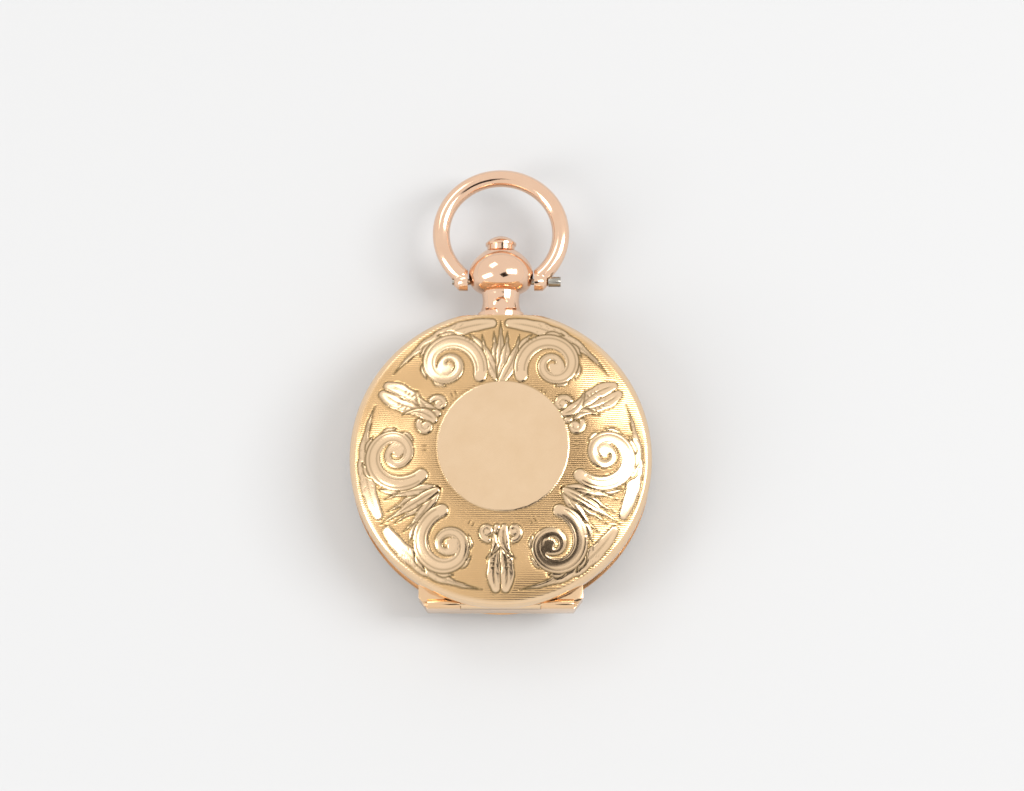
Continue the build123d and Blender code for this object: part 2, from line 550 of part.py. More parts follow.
def make_crystal():
    seat = FRONT_JOINT_Z + 0.36
    edge = CRYSTAL_R - 0.32
    return turned(
        Line((0, CRYSTAL_TOP_Z), (0, CRYSTAL_TOP_Z - CRYSTAL_T)),
        crown(edge - 0.5, seat, CRYSTAL_TOP_Z - CRYSTAL_T),
        Line((edge - 0.5, seat), (CRYSTAL_R, seat)),
        Line((CRYSTAL_R, seat), (CRYSTAL_R, seat + 0.45)),
        Line((CRYSTAL_R, seat + 0.45), (edge, seat + 0.45)),
        crown(edge, seat + 0.45, CRYSTAL_TOP_Z),
    )


def make_dial():
    return disc(DIAL_R, DIAL_Z, DIAL_Z + DIAL_T) - disc(HOUR_PIPE_R + 0.2, 0, CASE_T)


def make_dial_feet():
    return [disc(0.35, PLATE_Z + 0.2, DIAL_Z, at) for at in DIAL_FEET_AT]


def hand(length, z, collet_r, bore_r, eye_at, eye_r):
    """Slim hand with a round eye near its tip, pointing to 12 o'clock."""
    outline = Polyline((-0.28, 0), (-0.16, length * eye_at), (-0.1, length - 0.8), (0, length), (0.1, length - 0.8),
                       (0.16, length * eye_at), (0.28, 0), close=True)
    blade = Pos(0, 0, z) * extrude(make_face(outline), amount=HAND_T)
    blade += ring(eye_r * 0.55, eye_r, z, z + HAND_T, (0, length * eye_at))
    return blade + disc(collet_r, z - 0.1, z + 0.25) - disc(bore_r, 0, CASE_T)


def make_minute_hand():
    return hand(MINUTE_HAND_L, MINUTE_HAND_Z, 0.85, CANNON_R, 0.74, 0.55)


def make_hour_hand():
    return hand(HOUR_HAND_L, HOUR_HAND_Z, 1.2, HOUR_PIPE_R, 0.68, 0.7)


# ---- Motion work
def make_cannon_pinion():
    pinion = leaves(CANNON_LEAVES, MOTION_MODULE, RECESS_Z + 0.05, RECESS_Z + 0.27, CENTRE, MINUTE_AT_DEG)
    pinion += disc(CANNON_R, RECESS_Z + 0.27, MINUTE_HAND_Z + 0.25)
    return pinion - disc(SET_ARBOR_R, 0, CASE_T)


def make_set_arbor():
    """Arbor that carries the cannon pinion, with the square for setting the hands at its back end."""
    half = SET_SQUARE_SIDE / 2
    arbor_top = MINUTE_HAND_Z + 0.25
    square = block(-half, half, -half, half, KEY_SQUARE_Z, BRIDGE_Z)
    return disc(SET_ARBOR_R, BRIDGE_Z, arbor_top) + square + disc(CANNON_R, arbor_top, arbor_top + 0.1)


def make_hour_wheel():
    z0 = RECESS_Z + 0.31
    wheel = toothed(HOUR_TEETH, MOTION_MODULE, z0, z0 + 0.2, CENTRE, mesh_phase(HOUR_TEETH, MINUTE_AT_DEG))
    return wheel + disc(HOUR_PIPE_R, z0, HOUR_HAND_Z + 0.25) - disc(CANNON_R + PIVOT_CLEAR, 0, CASE_T)


def make_minute_wheel():
    phase = MINUTE_AT_DEG + 180
    wheel = toothed(MINUTE_TEETH, MOTION_MODULE, RECESS_Z + 0.06, RECESS_Z + 0.24, MINUTE,
                    mesh_phase(MINUTE_TEETH, phase))
    wheel += leaves(MINUTE_LEAVES, MOTION_MODULE, RECESS_Z + 0.24, RECESS_Z + 0.54, MINUTE, phase)
    return wheel - disc(0.2, 0, CASE_T, MINUTE)


def make_minute_wheel_stud():
    return disc(0.17, PLATE_Z + 0.1, RECESS_Z + 0.57, MINUTE)


# ---- Train
def make_main_plate():
    plate = disc(PLATE_R, PLATE_Z, DIAL_Z)
    hour_tip = MOTION_MODULE * (HOUR_TEETH / 2 + 1)
    minute_tip = MOTION_MODULE * (MINUTE_TEETH / 2 + 1)
    plate -= disc(hour_tip + 0.15, RECESS_Z, DIAL_Z + 1)
    plate -= disc(minute_tip + 0.12, RECESS_Z, DIAL_Z + 1, MINUTE)
    plate -= disc(CENTRE_PIVOT_R + PIVOT_CLEAR, 0, CASE_T)
    plate -= disc(0.17, PLATE_Z + 0.1, CASE_T, MINUTE)
    plate -= disc(BARREL_PIVOT_R + PIVOT_CLEAR, 0, PLATE_Z + 0.45, BARREL)
    for at in (THIRD, FOURTH, ESCAPE, BALANCE):
        plate -= disc(PIVOT_R + PIVOT_CLEAR, 0, PLATE_Z + 0.45, at)
    for at in BRIDGE_SCREWS_AT:
        plate -= disc(SCREW_R, 0, PLATE_Z + 0.8, at)
    for at in CASE_SCREWS_AT:
        plate -= disc(SCREW_R, 0, PLATE_Z + 0.8, at)
    for at in DIAL_FEET_AT:
        plate -= disc(0.35, PLATE_Z - 1, DIAL_Z + 1, at)
    for x in (-1, 1):
        plate -= disc(0.35, PLATE_Z - 1, DIAL_Z + 1, (x * (PLATE_R - 0.2), 0))
    return plate


BRIDGE_SCREWS_AT = BARREL_FEET + [CENTRE_FOOT, THIRD_FOOT, FOURTH_FOOT, ESCAPE_FOOT, BALANCE_FOOT]


def cock(at, foot, z0, thickness, arm_r, end_r, hole_r):
    """Cock: a foot on the plate, a bar from it and a round end over the pivot."""
    solid = bar(foot, at, arm_r, z0, z0 + thickness) + disc(end_r, z0, z0 + thickness, at)
    solid += disc(FOOT_R, z0, PLATE_Z, foot)
    return solid - disc(hole_r, 0, CASE_T, at) - disc(SCREW_R, 0, CASE_T, foot)


def make_barrel_bridge():
    first, second = BARREL_FEET
    bridge = bar(first, second, FOOT_R + 0.5, BRIDGE_Z, BRIDGE_FRONT_Z)
    bridge += disc(RATCHET_R + 1.2, BRIDGE_Z, BRIDGE_FRONT_Z, BARREL)
    for foot in BARREL_FEET:
        bridge += disc(FOOT_R, BRIDGE_Z, PLATE_Z, foot)
        bridge -= disc(SCREW_R, 0, CASE_T, foot)
    bridge -= disc(BARREL_PIVOT_R + PIVOT_CLEAR, 0, CASE_T, BARREL)
    return bridge - disc(0.3, 0, BRIDGE_FRONT_Z - 0.1, CLICK_AT)


def make_centre_bridge():
    return cock(CENTRE, CENTRE_FOOT, BRIDGE_Z, BRIDGE_T, 0.9, 1.4, CENTRE_PIVOT_R + PIVOT_CLEAR)


def make_third_cock():
    return cock(THIRD, THIRD_FOOT, BRIDGE_Z, BRIDGE_T, 0.8, 1.0, JEWEL_R)


def make_fourth_cock():
    return cock(FOURTH, FOURTH_FOOT, BRIDGE_Z, BRIDGE_T, 0.8, 1.0, JEWEL_R)


def make_escape_cock():
    return cock(ESCAPE, ESCAPE_FOOT, ESCAPE_COCK_Z, COCK_T, 0.7, 0.9, JEWEL_R)


def make_balance_cock():
    solid = cock(BALANCE, BALANCE_FOOT, BALANCE_COCK_Z, BALANCE_COCK_T, 1.0, 1.5, JEWEL_R)
    return solid - disc(0.22, 0, CASE_T, STUD_AT)


def make_bridge_screws():
    heads = [BRIDGE_Z] * 5 + [ESCAPE_COCK_Z, BALANCE_COCK_Z]
    return [screw(at, z - SCREW_HEAD_H, PLATE_Z + 0.7) for at, z in zip(BRIDGE_SCREWS_AT, heads)]


def make_case_screws():
    return [screw(at, BACK_JOINT_Z - SCREW_HEAD_H, PLATE_Z + 0.7, 0.75) for at in CASE_SCREWS_AT]


def make_train_jewels():
    places = ((THIRD, BRIDGE_Z + 0.3, BRIDGE_FRONT_Z), (FOURTH, BRIDGE_Z + 0.3, BRIDGE_FRONT_Z),
              (ESCAPE, ESCAPE_COCK_Z, COCK_FRONT_Z),
              (BALANCE, BALANCE_COCK_Z + 0.15, BALANCE_COCK_Z + BALANCE_COCK_T))
    return [ring(PIVOT_R + PIVOT_CLEAR, JEWEL_R, z0, z1, at) for at, z0, z1 in places]


def make_end_stone():
    return disc(JEWEL_R, BALANCE_COCK_Z, BALANCE_COCK_Z + 0.14, BALANCE)


def make_regulator():
    """Ring round the end stone with a pointer and two curb pins."""
    z0 = BALANCE_COCK_Z - 0.16
    tail = polar(2.6, 100, BALANCE)
    index = bar(BALANCE, tail, 0.16, z0, z0 + 0.14) + disc(0.95, z0, z0 + 0.14, BALANCE)
    return index - disc(JEWEL_R + 0.02, 0, CASE_T, BALANCE)


STUD_AT = polar(1.15, 205, BALANCE)


def make_hairspring_stud():
    return disc(0.22, BALANCE_COCK_Z, BALANCE_Z - 0.12, STUD_AT)


def make_hairspring():
    z0 = BALANCE_Z - 0.3
    return spiral(0.4, 0.22, 4, 0.07, z0, z0 + 0.14, BALANCE)


def make_balance_wheel():
    rim = ring(BALANCE_R - BALANCE_RIM, BALANCE_R, BALANCE_Z, BALANCE_Z + 0.25, BALANCE)
    for arm in range(3):
        end = polar(BALANCE_R - BALANCE_RIM / 2, 90 + arm * 120, BALANCE)
        rim += bar(BALANCE, end, 0.2, BALANCE_Z, BALANCE_Z + 0.2)
    return rim + disc(0.7, BALANCE_Z, BALANCE_Z + 0.25, BALANCE) - disc(CYLINDER_R, 0, CASE_T, BALANCE)


def make_balance_cylinder():
    """Staff of the balance: a thin cylinder, cut away where the escape teeth pass."""
    low, high = BALANCE_Z - 0.25, PLATE_Z - 0.05
    staff = disc(CYLINDER_R, low, high, BALANCE)
    staff -= disc(CYLINDER_IN_R, ESCAPE_LEVEL - 0.35, ESCAPE_LEVEL + 0.35, BALANCE)
    open_side = Pos(BALANCE[0], BALANCE[1], ESCAPE_LEVEL) * Rot(0, 0, BALANCE_AT_DEG + 180)
    staff -= open_side * Pos(1, 0, 0) * Box(2 + 2 * CYLINDER_R * 0.45, 4, 0.6)
    return staff + disc(PIVOT_R, BALANCE_COCK_Z + 0.16, PLATE_Z + 0.4, BALANCE) - disc(
        CYLINDER_IN_R, ESCAPE_LEVEL - 0.35, ESCAPE_LEVEL + 0.35, BALANCE)


ESCAPE_LEVEL = PLATE_Z - 0.85


def make_escape_wheel():
    """Escape wheel: each tooth is a small wedge on a stalk that stands up from the rim."""
    z0 = ESCAPE_LEVEL + 0.32
    wheel = ring(ESCAPE_R - 0.85, ESCAPE_R - 0.5, z0, z0 + 0.14, ESCAPE)
    for arm in range(3):
        wheel += bar(ESCAPE, polar(ESCAPE_R - 0.7, arm * 120, ESCAPE), 0.14, z0, z0 + 0.14)
    wheel += disc(0.55, z0, z0 + 0.14, ESCAPE)
    first = BALANCE_AT_DEG + 180 / ESCAPE_TEETH
    for tooth in range(ESCAPE_TEETH):
        angle = first + tooth * 360 / ESCAPE_TEETH
        root, tip = polar(ESCAPE_R - 0.6, angle, ESCAPE), polar(ESCAPE_R - 0.28, angle, ESCAPE)
        wheel += bar(root, tip, 0.07, z0, z0 + 0.14)
        wheel += disc(0.07, ESCAPE_LEVEL - 0.1, z0, tip)
        head = Polyline(polar(ESCAPE_R - 0.3, angle - 2, ESCAPE), polar(ESCAPE_R - 0.12, angle - 4, ESCAPE),
                        polar(ESCAPE_R + 0.08, angle + 4, ESCAPE), polar(ESCAPE_R - 0.34, angle + 2, ESCAPE),
                        close=True)
        wheel += Pos(0, 0, ESCAPE_LEVEL - 0.1) * extrude(make_face(head), amount=0.2)
    wheel += leaves(ESCAPE_LEAVES, FOURTH_MODULE, FOURTH_WHEEL_Z - 0.05, FOURTH_WHEEL_Z + 0.25, ESCAPE,
                    ESCAPE_AT_DEG + 180)
    return wheel + arbor(ESCAPE, ESCAPE_COCK_Z + 0.05, FOURTH_WHEEL_Z + 0.2, PLATE_Z - 0.05, PLATE_Z + 0.4) + disc(
        0.16, COCK_FRONT_Z + 0.04, FOURTH_WHEEL_Z, ESCAPE)


def train_wheel(at, teeth, module, z, phase, leaf_count, leaf_module, leaf_z, leaf_phase):
    """Train wheel on its pinion and arbor."""
    wheel = crossed_wheel(teeth, module, z, at, phase)
    wheel += leaves(leaf_count, leaf_module, leaf_z - 0.1, leaf_z + WHEEL_T + 0.1, at, leaf_phase)
    return wheel + arbor(at, BRIDGE_Z + 0.35, BRIDGE_FRONT_Z + 0.05, PLATE_Z - 0.05, PLATE_Z + 0.4)


def make_fourth_wheel():
    return train_wheel(FOURTH, FOURTH_TEETH, FOURTH_MODULE, FOURTH_WHEEL_Z, mesh_phase(FOURTH_TEETH, ESCAPE_AT_DEG),
                       FOURTH_LEAVES, THIRD_MODULE, THIRD_WHEEL_Z, FOURTH_AT_DEG + 180)


def make_third_wheel():
    return train_wheel(THIRD, THIRD_TEETH, THIRD_MODULE, THIRD_WHEEL_Z, mesh_phase(THIRD_TEETH, FOURTH_AT_DEG),
                       THIRD_LEAVES, CENTRE_MODULE, CENTRE_WHEEL_Z, THIRD_AT_DEG + 180)


def make_centre_wheel():
    """Centre wheel on its hollow pinion, which the set arbor passes through."""
    wheel = crossed_wheel(CENTRE_TEETH, CENTRE_MODULE, CENTRE_WHEEL_Z, CENTRE,
                          mesh_phase(CENTRE_TEETH, THIRD_AT_DEG), hub=1.0)
    wheel += leaves(CENTRE_LEAVES, BARREL_MODULE, DRUM_Z + 0.85, CENTRE_WHEEL_Z, CENTRE, BARREL_AT_DEG)
    wheel += disc(CENTRE_PIVOT_R, BRIDGE_Z + 0.05, RECESS_Z - 0.05)
    return wheel - disc(CENTRE_BORE_R, 0, CASE_T)


def make_barrel_drum():
    wall_r = BARREL_MODULE * BARREL_TEETH / 2 - 1.3 * BARREL_MODULE
    teeth_z = DRUM_Z + DRUM_H - 0.38
    phase = mesh_phase(BARREL_TEETH, BARREL_AT_DEG + 180)
    drum = disc(wall_r, DRUM_Z, DRUM_Z + DRUM_H, BARREL)
    drum += toothed(BARREL_TEETH, BARREL_MODULE, teeth_z, teeth_z + 0.25, BARREL, phase)
    drum -= disc(wall_r - 0.3, DRUM_Z - 1, DRUM_Z + DRUM_H - 0.15, BARREL)
    return drum - disc(BARREL_PIVOT_R + PIVOT_CLEAR, 0, CASE_T, BARREL)


def make_barrel_cover():
    wall_r = BARREL_MODULE * BARREL_TEETH / 2 - 1.3 * BARREL_MODULE
    return ring(BARREL_PIVOT_R + PIVOT_CLEAR, wall_r - 0.3, DRUM_Z, DRUM_Z + 0.15, BARREL)


def make_mainspring():
    return spiral(1.3, 0.5, 12, 0.13, DRUM_Z + 0.22, DRUM_Z + DRUM_H - 0.22, BARREL)


def make_barrel_arbor():
    half = SQUARE_SIDE / 2
    x, y = BARREL
    square = block(x - half, x + half, y - half, y + half, KEY_SQUARE_Z, BRIDGE_Z)
    hub = disc(1.15, DRUM_Z + 0.2, DRUM_Z + DRUM_H - 0.2, BARREL)
    return square + disc(BARREL_PIVOT_R, BRIDGE_Z, PLATE_Z + 0.4, BARREL) + hub


def make_ratchet_wheel():
    """Ratchet with saw teeth, on the winding square."""
    points = []
    for tooth in range(RATCHET_TEETH):
        angle = tooth * 360 / RATCHET_TEETH
        points += [polar(RATCHET_R - 0.25, angle, BARREL), polar(RATCHET_R, angle + 1, BARREL)]
    z0 = BRIDGE_Z - 0.32
    wheel = Pos(0, 0, z0) * extrude(make_face(Polyline(*points, close=True)), amount=0.27)
    half = SQUARE_SIDE / 2
    return wheel - block(BARREL[0] - half, BARREL[0] + half, BARREL[1] - half, BARREL[1] + half, 0, CASE_T)


CLICK_DEG = BARREL_AT_DEG + 100
CLICK_AT = polar(RATCHET_R + 0.75, CLICK_DEG, BARREL)
CLICK_TIP = polar(RATCHET_R + 0.06, CLICK_DEG - 24, BARREL)


def make_click():
    """Pawl beside the ratchet, shown just clear of the tips of the teeth."""
    z0 = BRIDGE_Z - 0.3
    plan = Polyline(CLICK_TIP, polar(RATCHET_R + 0.45, CLICK_DEG - 24, BARREL),
                    polar(RATCHET_R + 1.15, CLICK_DEG - 4, BARREL), polar(RATCHET_R + 0.4, CLICK_DEG - 4, BARREL),
                    close=True)
    pawl = Pos(0, 0, z0) * extrude(make_face(plan), amount=0.24) + disc(0.55, z0, z0 + 0.24, CLICK_AT)
    return pawl - disc(0.34, 0, CASE_T, CLICK_AT)


def make_click_screw():
    head = disc(0.5, BRIDGE_Z - 0.5, BRIDGE_Z - 0.32, CLICK_AT)
    return head + disc(0.3, BRIDGE_Z - 0.32, BRIDGE_FRONT_Z - 0.2, CLICK_AT)


def make_click_spring():
    start, middle = polar(RATCHET_R + 0.75, CLICK_DEG - 62, BARREL), polar(RATCHET_R + 1.0, CLICK_DEG - 40, BARREL)
    end = polar(RATCHET_R + 0.75, CLICK_DEG - 26, BARREL)
    z0, z1 = BRIDGE_Z - 0.25, BRIDGE_Z
    return disc(0.3, z0, z1, start) + bar(start, middle, 0.06, z0, z1) + bar(middle, end, 0.06, z0, z1)


MAKERS = {
    "case_band": make_case_band, "pendant_neck": make_pendant_neck, "pendant_ball": make_pendant_ball,
    "bow": make_bow, "bow_screw": make_bow_screw, "push_piece": make_push_piece,
    "lock_spring": make_lock_spring, "lift_spring": make_lift_spring, "spring_screws": make_spring_screws,
    "front_cover": make_front_cover, "front_hinge_pin": make_front_hinge_pin,
    "back_cover": make_back_cover, "back_hinge_pin": make_back_hinge_pin, "cuvette": make_cuvette,
    "glass_bezel": make_glass_bezel, "crystal": make_crystal, "dial": make_dial, "dial_feet": make_dial_feet,
    "minute_hand": make_minute_hand, "hour_hand": make_hour_hand, "cannon_pinion": make_cannon_pinion,
    "set_arbor": make_set_arbor, "hour_wheel": make_hour_wheel, "minute_wheel": make_minute_wheel,
    "minute_wheel_stud": make_minute_wheel_stud, "main_plate": make_main_plate, "case_screws": make_case_screws,
    "barrel_bridge": make_barrel_bridge, "centre_bridge": make_centre_bridge, "third_cock": make_third_cock,
    "fourth_cock": make_fourth_cock, "escape_cock": make_escape_cock, "balance_cock": make_balance_cock,
    "bridge_screws": make_bridge_screws, "train_jewels": make_train_jewels, "end_stone": make_end_stone,
    "regulator": make_regulator, "hairspring_stud": make_hairspring_stud, "hairspring": make_hairspring,
    "balance_wheel": make_balance_wheel, "balance_cylinder": make_balance_cylinder,
    "escape_wheel": make_escape_wheel, "fourth_wheel": make_fourth_wheel, "third_wheel": make_third_wheel,
    "centre_wheel": make_centre_wheel, "barrel_drum": make_barrel_drum, "barrel_cover": make_barrel_cover,
    "mainspring": make_mainspring, "barrel_arbor": make_barrel_arbor, "ratchet_wheel": make_ratchet_wheel,
    "click": make_click, "click_screw": make_click_screw, "click_spring": make_click_spring,
}

os.makedirs("parts", exist_ok=True)
for name, maker in MAKERS.items():
    made = maker()
    solids = made if isinstance(made, list) else made.solids()
    shape = solids[0] if len(solids) == 1 else Compound(children=list(solids))
    export_step(shape, f"parts/{name}.step")
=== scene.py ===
"""Looks of a lady's engraved hunter fob watch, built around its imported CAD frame.

Lengths are written in millimetres, in the frame's own axes: +Z out of the front cover, +Y to the pendant.
"""

import json
from math import cos, degrees, pi, radians, sin

import bpy
import numpy as np
from mathutils import Matrix, Vector

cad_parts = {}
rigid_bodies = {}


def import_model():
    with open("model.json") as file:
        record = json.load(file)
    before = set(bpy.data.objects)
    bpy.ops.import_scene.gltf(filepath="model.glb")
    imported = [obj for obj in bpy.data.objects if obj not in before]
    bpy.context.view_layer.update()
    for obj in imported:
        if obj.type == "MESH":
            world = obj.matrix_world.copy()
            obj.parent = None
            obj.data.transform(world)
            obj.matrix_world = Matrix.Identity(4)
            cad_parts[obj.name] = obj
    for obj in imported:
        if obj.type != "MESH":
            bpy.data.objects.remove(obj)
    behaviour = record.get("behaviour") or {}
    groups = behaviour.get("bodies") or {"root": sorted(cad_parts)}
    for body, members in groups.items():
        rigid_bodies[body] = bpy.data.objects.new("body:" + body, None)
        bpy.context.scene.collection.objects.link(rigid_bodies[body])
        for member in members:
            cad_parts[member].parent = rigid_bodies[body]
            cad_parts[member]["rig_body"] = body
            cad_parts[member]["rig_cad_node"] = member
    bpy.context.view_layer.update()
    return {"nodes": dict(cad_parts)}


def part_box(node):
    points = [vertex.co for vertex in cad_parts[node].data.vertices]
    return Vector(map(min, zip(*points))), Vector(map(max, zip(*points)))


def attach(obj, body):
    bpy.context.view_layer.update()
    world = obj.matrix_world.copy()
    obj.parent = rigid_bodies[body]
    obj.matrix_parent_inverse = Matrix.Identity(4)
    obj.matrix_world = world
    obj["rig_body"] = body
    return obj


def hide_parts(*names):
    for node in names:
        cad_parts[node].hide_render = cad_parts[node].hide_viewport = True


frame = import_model()
MM = 0.001


def cad_box(node):
    """Lowest and highest corners of a CAD node, in millimetres."""
    low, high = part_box(node)
    return low / MM, high / MM


# ---- Sizes, read from the frame
COVER_HIGH = cad_box("front_cover")[1]
CASE_R = COVER_HIGH.x
CASE_T = COVER_HIGH.z
COVER_TOP_Y = COVER_HIGH.y
COVER_DEPTH = 4.0
FRONT_JOINT_Z = CASE_T - COVER_DEPTH
COVER_GAP = 0.03
COVER_WALL = 0.45
CROWN_WALL = 0.62                        # the crown is thicker than the skirt, for the engraving
COVER_FLAT_R = 7.2
CROWN_BEND_R = 12.01                     # middle control point of the crown's curve
CROWN_EDGE_R = CASE_R - 0.67
CROWN_EDGE_Z = CASE_T - 2.12
RIM_ROUND = 1.2
RIM_ROUND_R = CASE_R - RIM_ROUND
RIM_ROUND_Z = FRONT_JOINT_Z + 0.8        # the skirt is straight below this
SKIRT_MID_Z = FRONT_JOINT_Z + 0.4
RIM_RINGS = (16.7, 16.83, 16.93, 16.985)
INSIDE_RINGS = (16.1, 15.3, 14.0, 12.0, 9.0, 6.0, 3.0)
HINGE_Y = -16.4
KNUCKLE_R = 0.55
HINGE_CLEAR_R = KNUCKLE_R + 0.08
HINGE_HALF = 9.2
KNUCKLE_FRONT = 4.45
KNUCKLE_BACK = 3.15
LIP_AT = (0, 15.72, 8.1)
LIP_SIZE = (2.4, 0.26, 0.3)
LIP_ROUND = 0.05

# ---- Sizes of the dial painting
DIAL_TOP = cad_box("dial")[1].z
PAINT_T = 0.008
NUMERAL_R = 9.6
NUMERAL_SIZE = 3.4
NUMERAL_NARROWING = 0.72
TRACK_R = (12.05, 12.78)
TRACK_LINE = 0.09
MINUTE_R = 12.45
MINUTE_LENGTH = 0.7
FIVE_MINUTE_WIDTH = 0.22
MINUTE_WIDTH = 0.09

# ---- Engraving
PLATE_AT = (0.28, 0.85)   # middle of the plain round cartouche
PLATE_R = 7.45
GROUND_DEPTH = 0.075
CUT_DEPTH = 0.06
GRID = 272                # rows of the cover's relief grid
GRID_R = 16.55            # the grid ends on the rounded rim
FADE_R = 16.5             # the relief dies away over FADE before this
FADE = 0.4

ENGRAVED_R = 16.1         # the pattern ends here

# The pattern is a scroll with its leaves, mirrored from one sector to the next round the cartouche
PAIRS = 3
SECTOR = 180 / PAIRS                     # degrees that one scroll takes
FIRST_FAN = 90                           # a fan of leaves stands under the pendant
BELT = ENGRAVED_R - PLATE_R              # the width that is engraved
BELT_MID = PLATE_R + BELT / 2
SCROLL_SIZE = 0.44 * BELT
SCROLL_TURNS = 1.75
SCROLL_HALF = 0.1 * BELT
SCROLL_EYE = 0.15                        # size of the spiral's end against its start
LOBES = 5                                # small leaves that break from a scroll's back
TICK_STEP = 0.5
RIM_LEAF_R = ENGRAVED_R - 0.1 * BELT     # the rim leaves lie along this circle
RIM_LEAF_REACH = 0.82                    # share of the sector that a rim leaf spans
FAN_ROOT_R = PLATE_R + 0.08 * BELT
FAN_LEANS = (12, 34)                     # degrees that the fan's side leaves lean out
SMALL_LEAF = 0.055 * BELT                # half width


def polar(angle, distance):
    return distance * cos(radians(angle)), distance * sin(radians(angle))


def scroll_line(angle, distance, size, start, turns, hand):
    """Middle line of a scroll: a spiral that shrinks evenly into its eye."""
    middle_x, middle_y = polar(angle, distance)
    t = np.linspace(0, 1, 200)
    turn = radians(start) + hand * 2 * pi * turns * t
    reach = size * SCROLL_EYE ** t
    return np.stack([middle_x + reach * np.cos(turn), middle_y + reach * np.sin(turn)], -1)


def leaf_line(root, heading, length, bend):
    """Middle line of a leaf: an arc of a length that turns by its bend from root to tip."""
    t = np.linspace(0, 1, 60)
    turn = radians(heading) + radians(bend) * t
    step = length / len(t)
    return np.stack([root[0] + np.cumsum(np.cos(turn)) * step, root[1] + np.cumsum(np.sin(turn)) * step], -1)


def sectors():
    """For each scroll: its hand, and the angles of its middle, of the fan it grows from and of its back."""
    for number in range(2 * PAIRS):
        hand = 1 if number % 2 == 0 else -1
        middle = FIRST_FAN + SECTOR * (number + 0.5)
        yield hand, middle, middle - hand * SECTOR / 2, middle + hand * SECTOR / 2


def ornament():
    """Every ornament on the cover, in the order it is cut: kind, half width and middle line."""
    for hand, middle, fan, back in sectors():
        rim_arc = radians(SECTOR) * RIM_LEAF_R
        yield "leaf", 0.075 * BELT, leaf_line(polar(fan + 3 * hand, RIM_LEAF_R), fan + 93 * hand,
                                              RIM_LEAF_REACH * rim_arc, RIM_LEAF_REACH * SECTOR * hand)
        yield "leaf", 0.07 * BELT, leaf_line(polar(back - 2 * hand, ENGRAVED_R - 0.12 * BELT),
                                             back + 180 + 14 * hand, 0.75 * BELT, -50 * hand)
        yield "leaf", SMALL_LEAF, leaf_line(polar(back - 3 * hand, PLATE_R + 0.1 * BELT), back + 16 * hand,
                                            0.45 * BELT, -70 * hand)
        for lean in FAN_LEANS:
            yield "leaf", SMALL_LEAF, leaf_line(polar(fan, FAN_ROOT_R), fan + lean * hand,
                                                0.7 * BELT, -0.8 * lean * hand)
        # two scrolls share a fan, so its middle leaf is cut once
        if hand > 0:
            yield "leaf", 0.05 * BELT, leaf_line(polar(fan, FAN_ROOT_R), fan, 0.85 * BELT, 0)
    for hand, middle, fan, back in sectors():
        scroll = scroll_line(middle, BELT_MID, SCROLL_SIZE, middle - 140 * hand, SCROLL_TURNS, hand)
        for lobe in range(LOBES):
            at = 12 + 16 * lobe
            ahead = scroll[at + 1] - scroll[at]
            heading = degrees(np.arctan2(ahead[1], ahead[0])) - 48 * hand
            yield "leaf", 0.048 * BELT, leaf_line(scroll[at], heading, (0.34 - 0.03 * lobe) * BELT, 75 * hand)
        yield "curl", SCROLL_HALF, scroll
        yield "curl", 0.045 * BELT, scroll_line(back - 9 * hand, PLATE_R + 0.16 * BELT, 0.12 * BELT, back,
                                                1.1, -hand)


def ticks():
    """Rows of punched ticks between the scrolls: the row's start, its heading and how many."""
    for hand, middle, fan, back in sectors():
        yield polar(back - 4 * hand, BELT_MID), back, 3
        yield polar(fan + 13 * hand, ENGRAVED_R - 0.32 * BELT), fan + 60 * hand, 3
        yield polar(middle + 6 * hand, PLATE_R + 0.12 * BELT), middle + 90, 2


# ---- Materials
def linear(hex_colour):
    """sRGB hex to the linear colour that a shader socket takes."""
    channels = [int(hex_colour[i:i + 2], 16) / 255 for i in (1, 3, 5)]
    return tuple(c / 12.92 if c <= 0.04045 else ((c + 0.055) / 1.055) ** 2.4 for c in channels) + (1.0,)


def node(tree, kind, settings=None, **links):
    """Adds a node, sets its properties and inputs, and links inputs given as sockets."""
    made = tree.nodes.new(kind)
    for key, value in (settings or {}).items():
        setattr(made, key, value)
    for key, value in links.items():
        name = key.replace("_", " ")
        socket = made.inputs[int(name[1:])] if name[0] == "i" and name[1:].isdigit() else made.inputs[name]
        if isinstance(value, bpy.types.NodeSocket):
            tree.links.new(value, socket)
        else:
            socket.default_value = value
    return made


def new_material(name, colour, metallic, roughness, **more):
    material = bpy.data.materials.new(name)
    material.use_nodes = True
    shader = material.node_tree.nodes["Principled BSDF"]
    shader.inputs["Base Color"].default_value = linear(colour)
    shader.inputs["Metallic"].default_value = metallic
    shader.inputs["Roughness"].default_value = roughness
    for key, value in more.items():
        shader.inputs[key.replace("_", " ")].default_value = value
    return material, material.node_tree, shader


def per_metre(millimetres):
    """Texture scale whose features are this many millimetres across."""
    return 1 / (millimetres * MM)


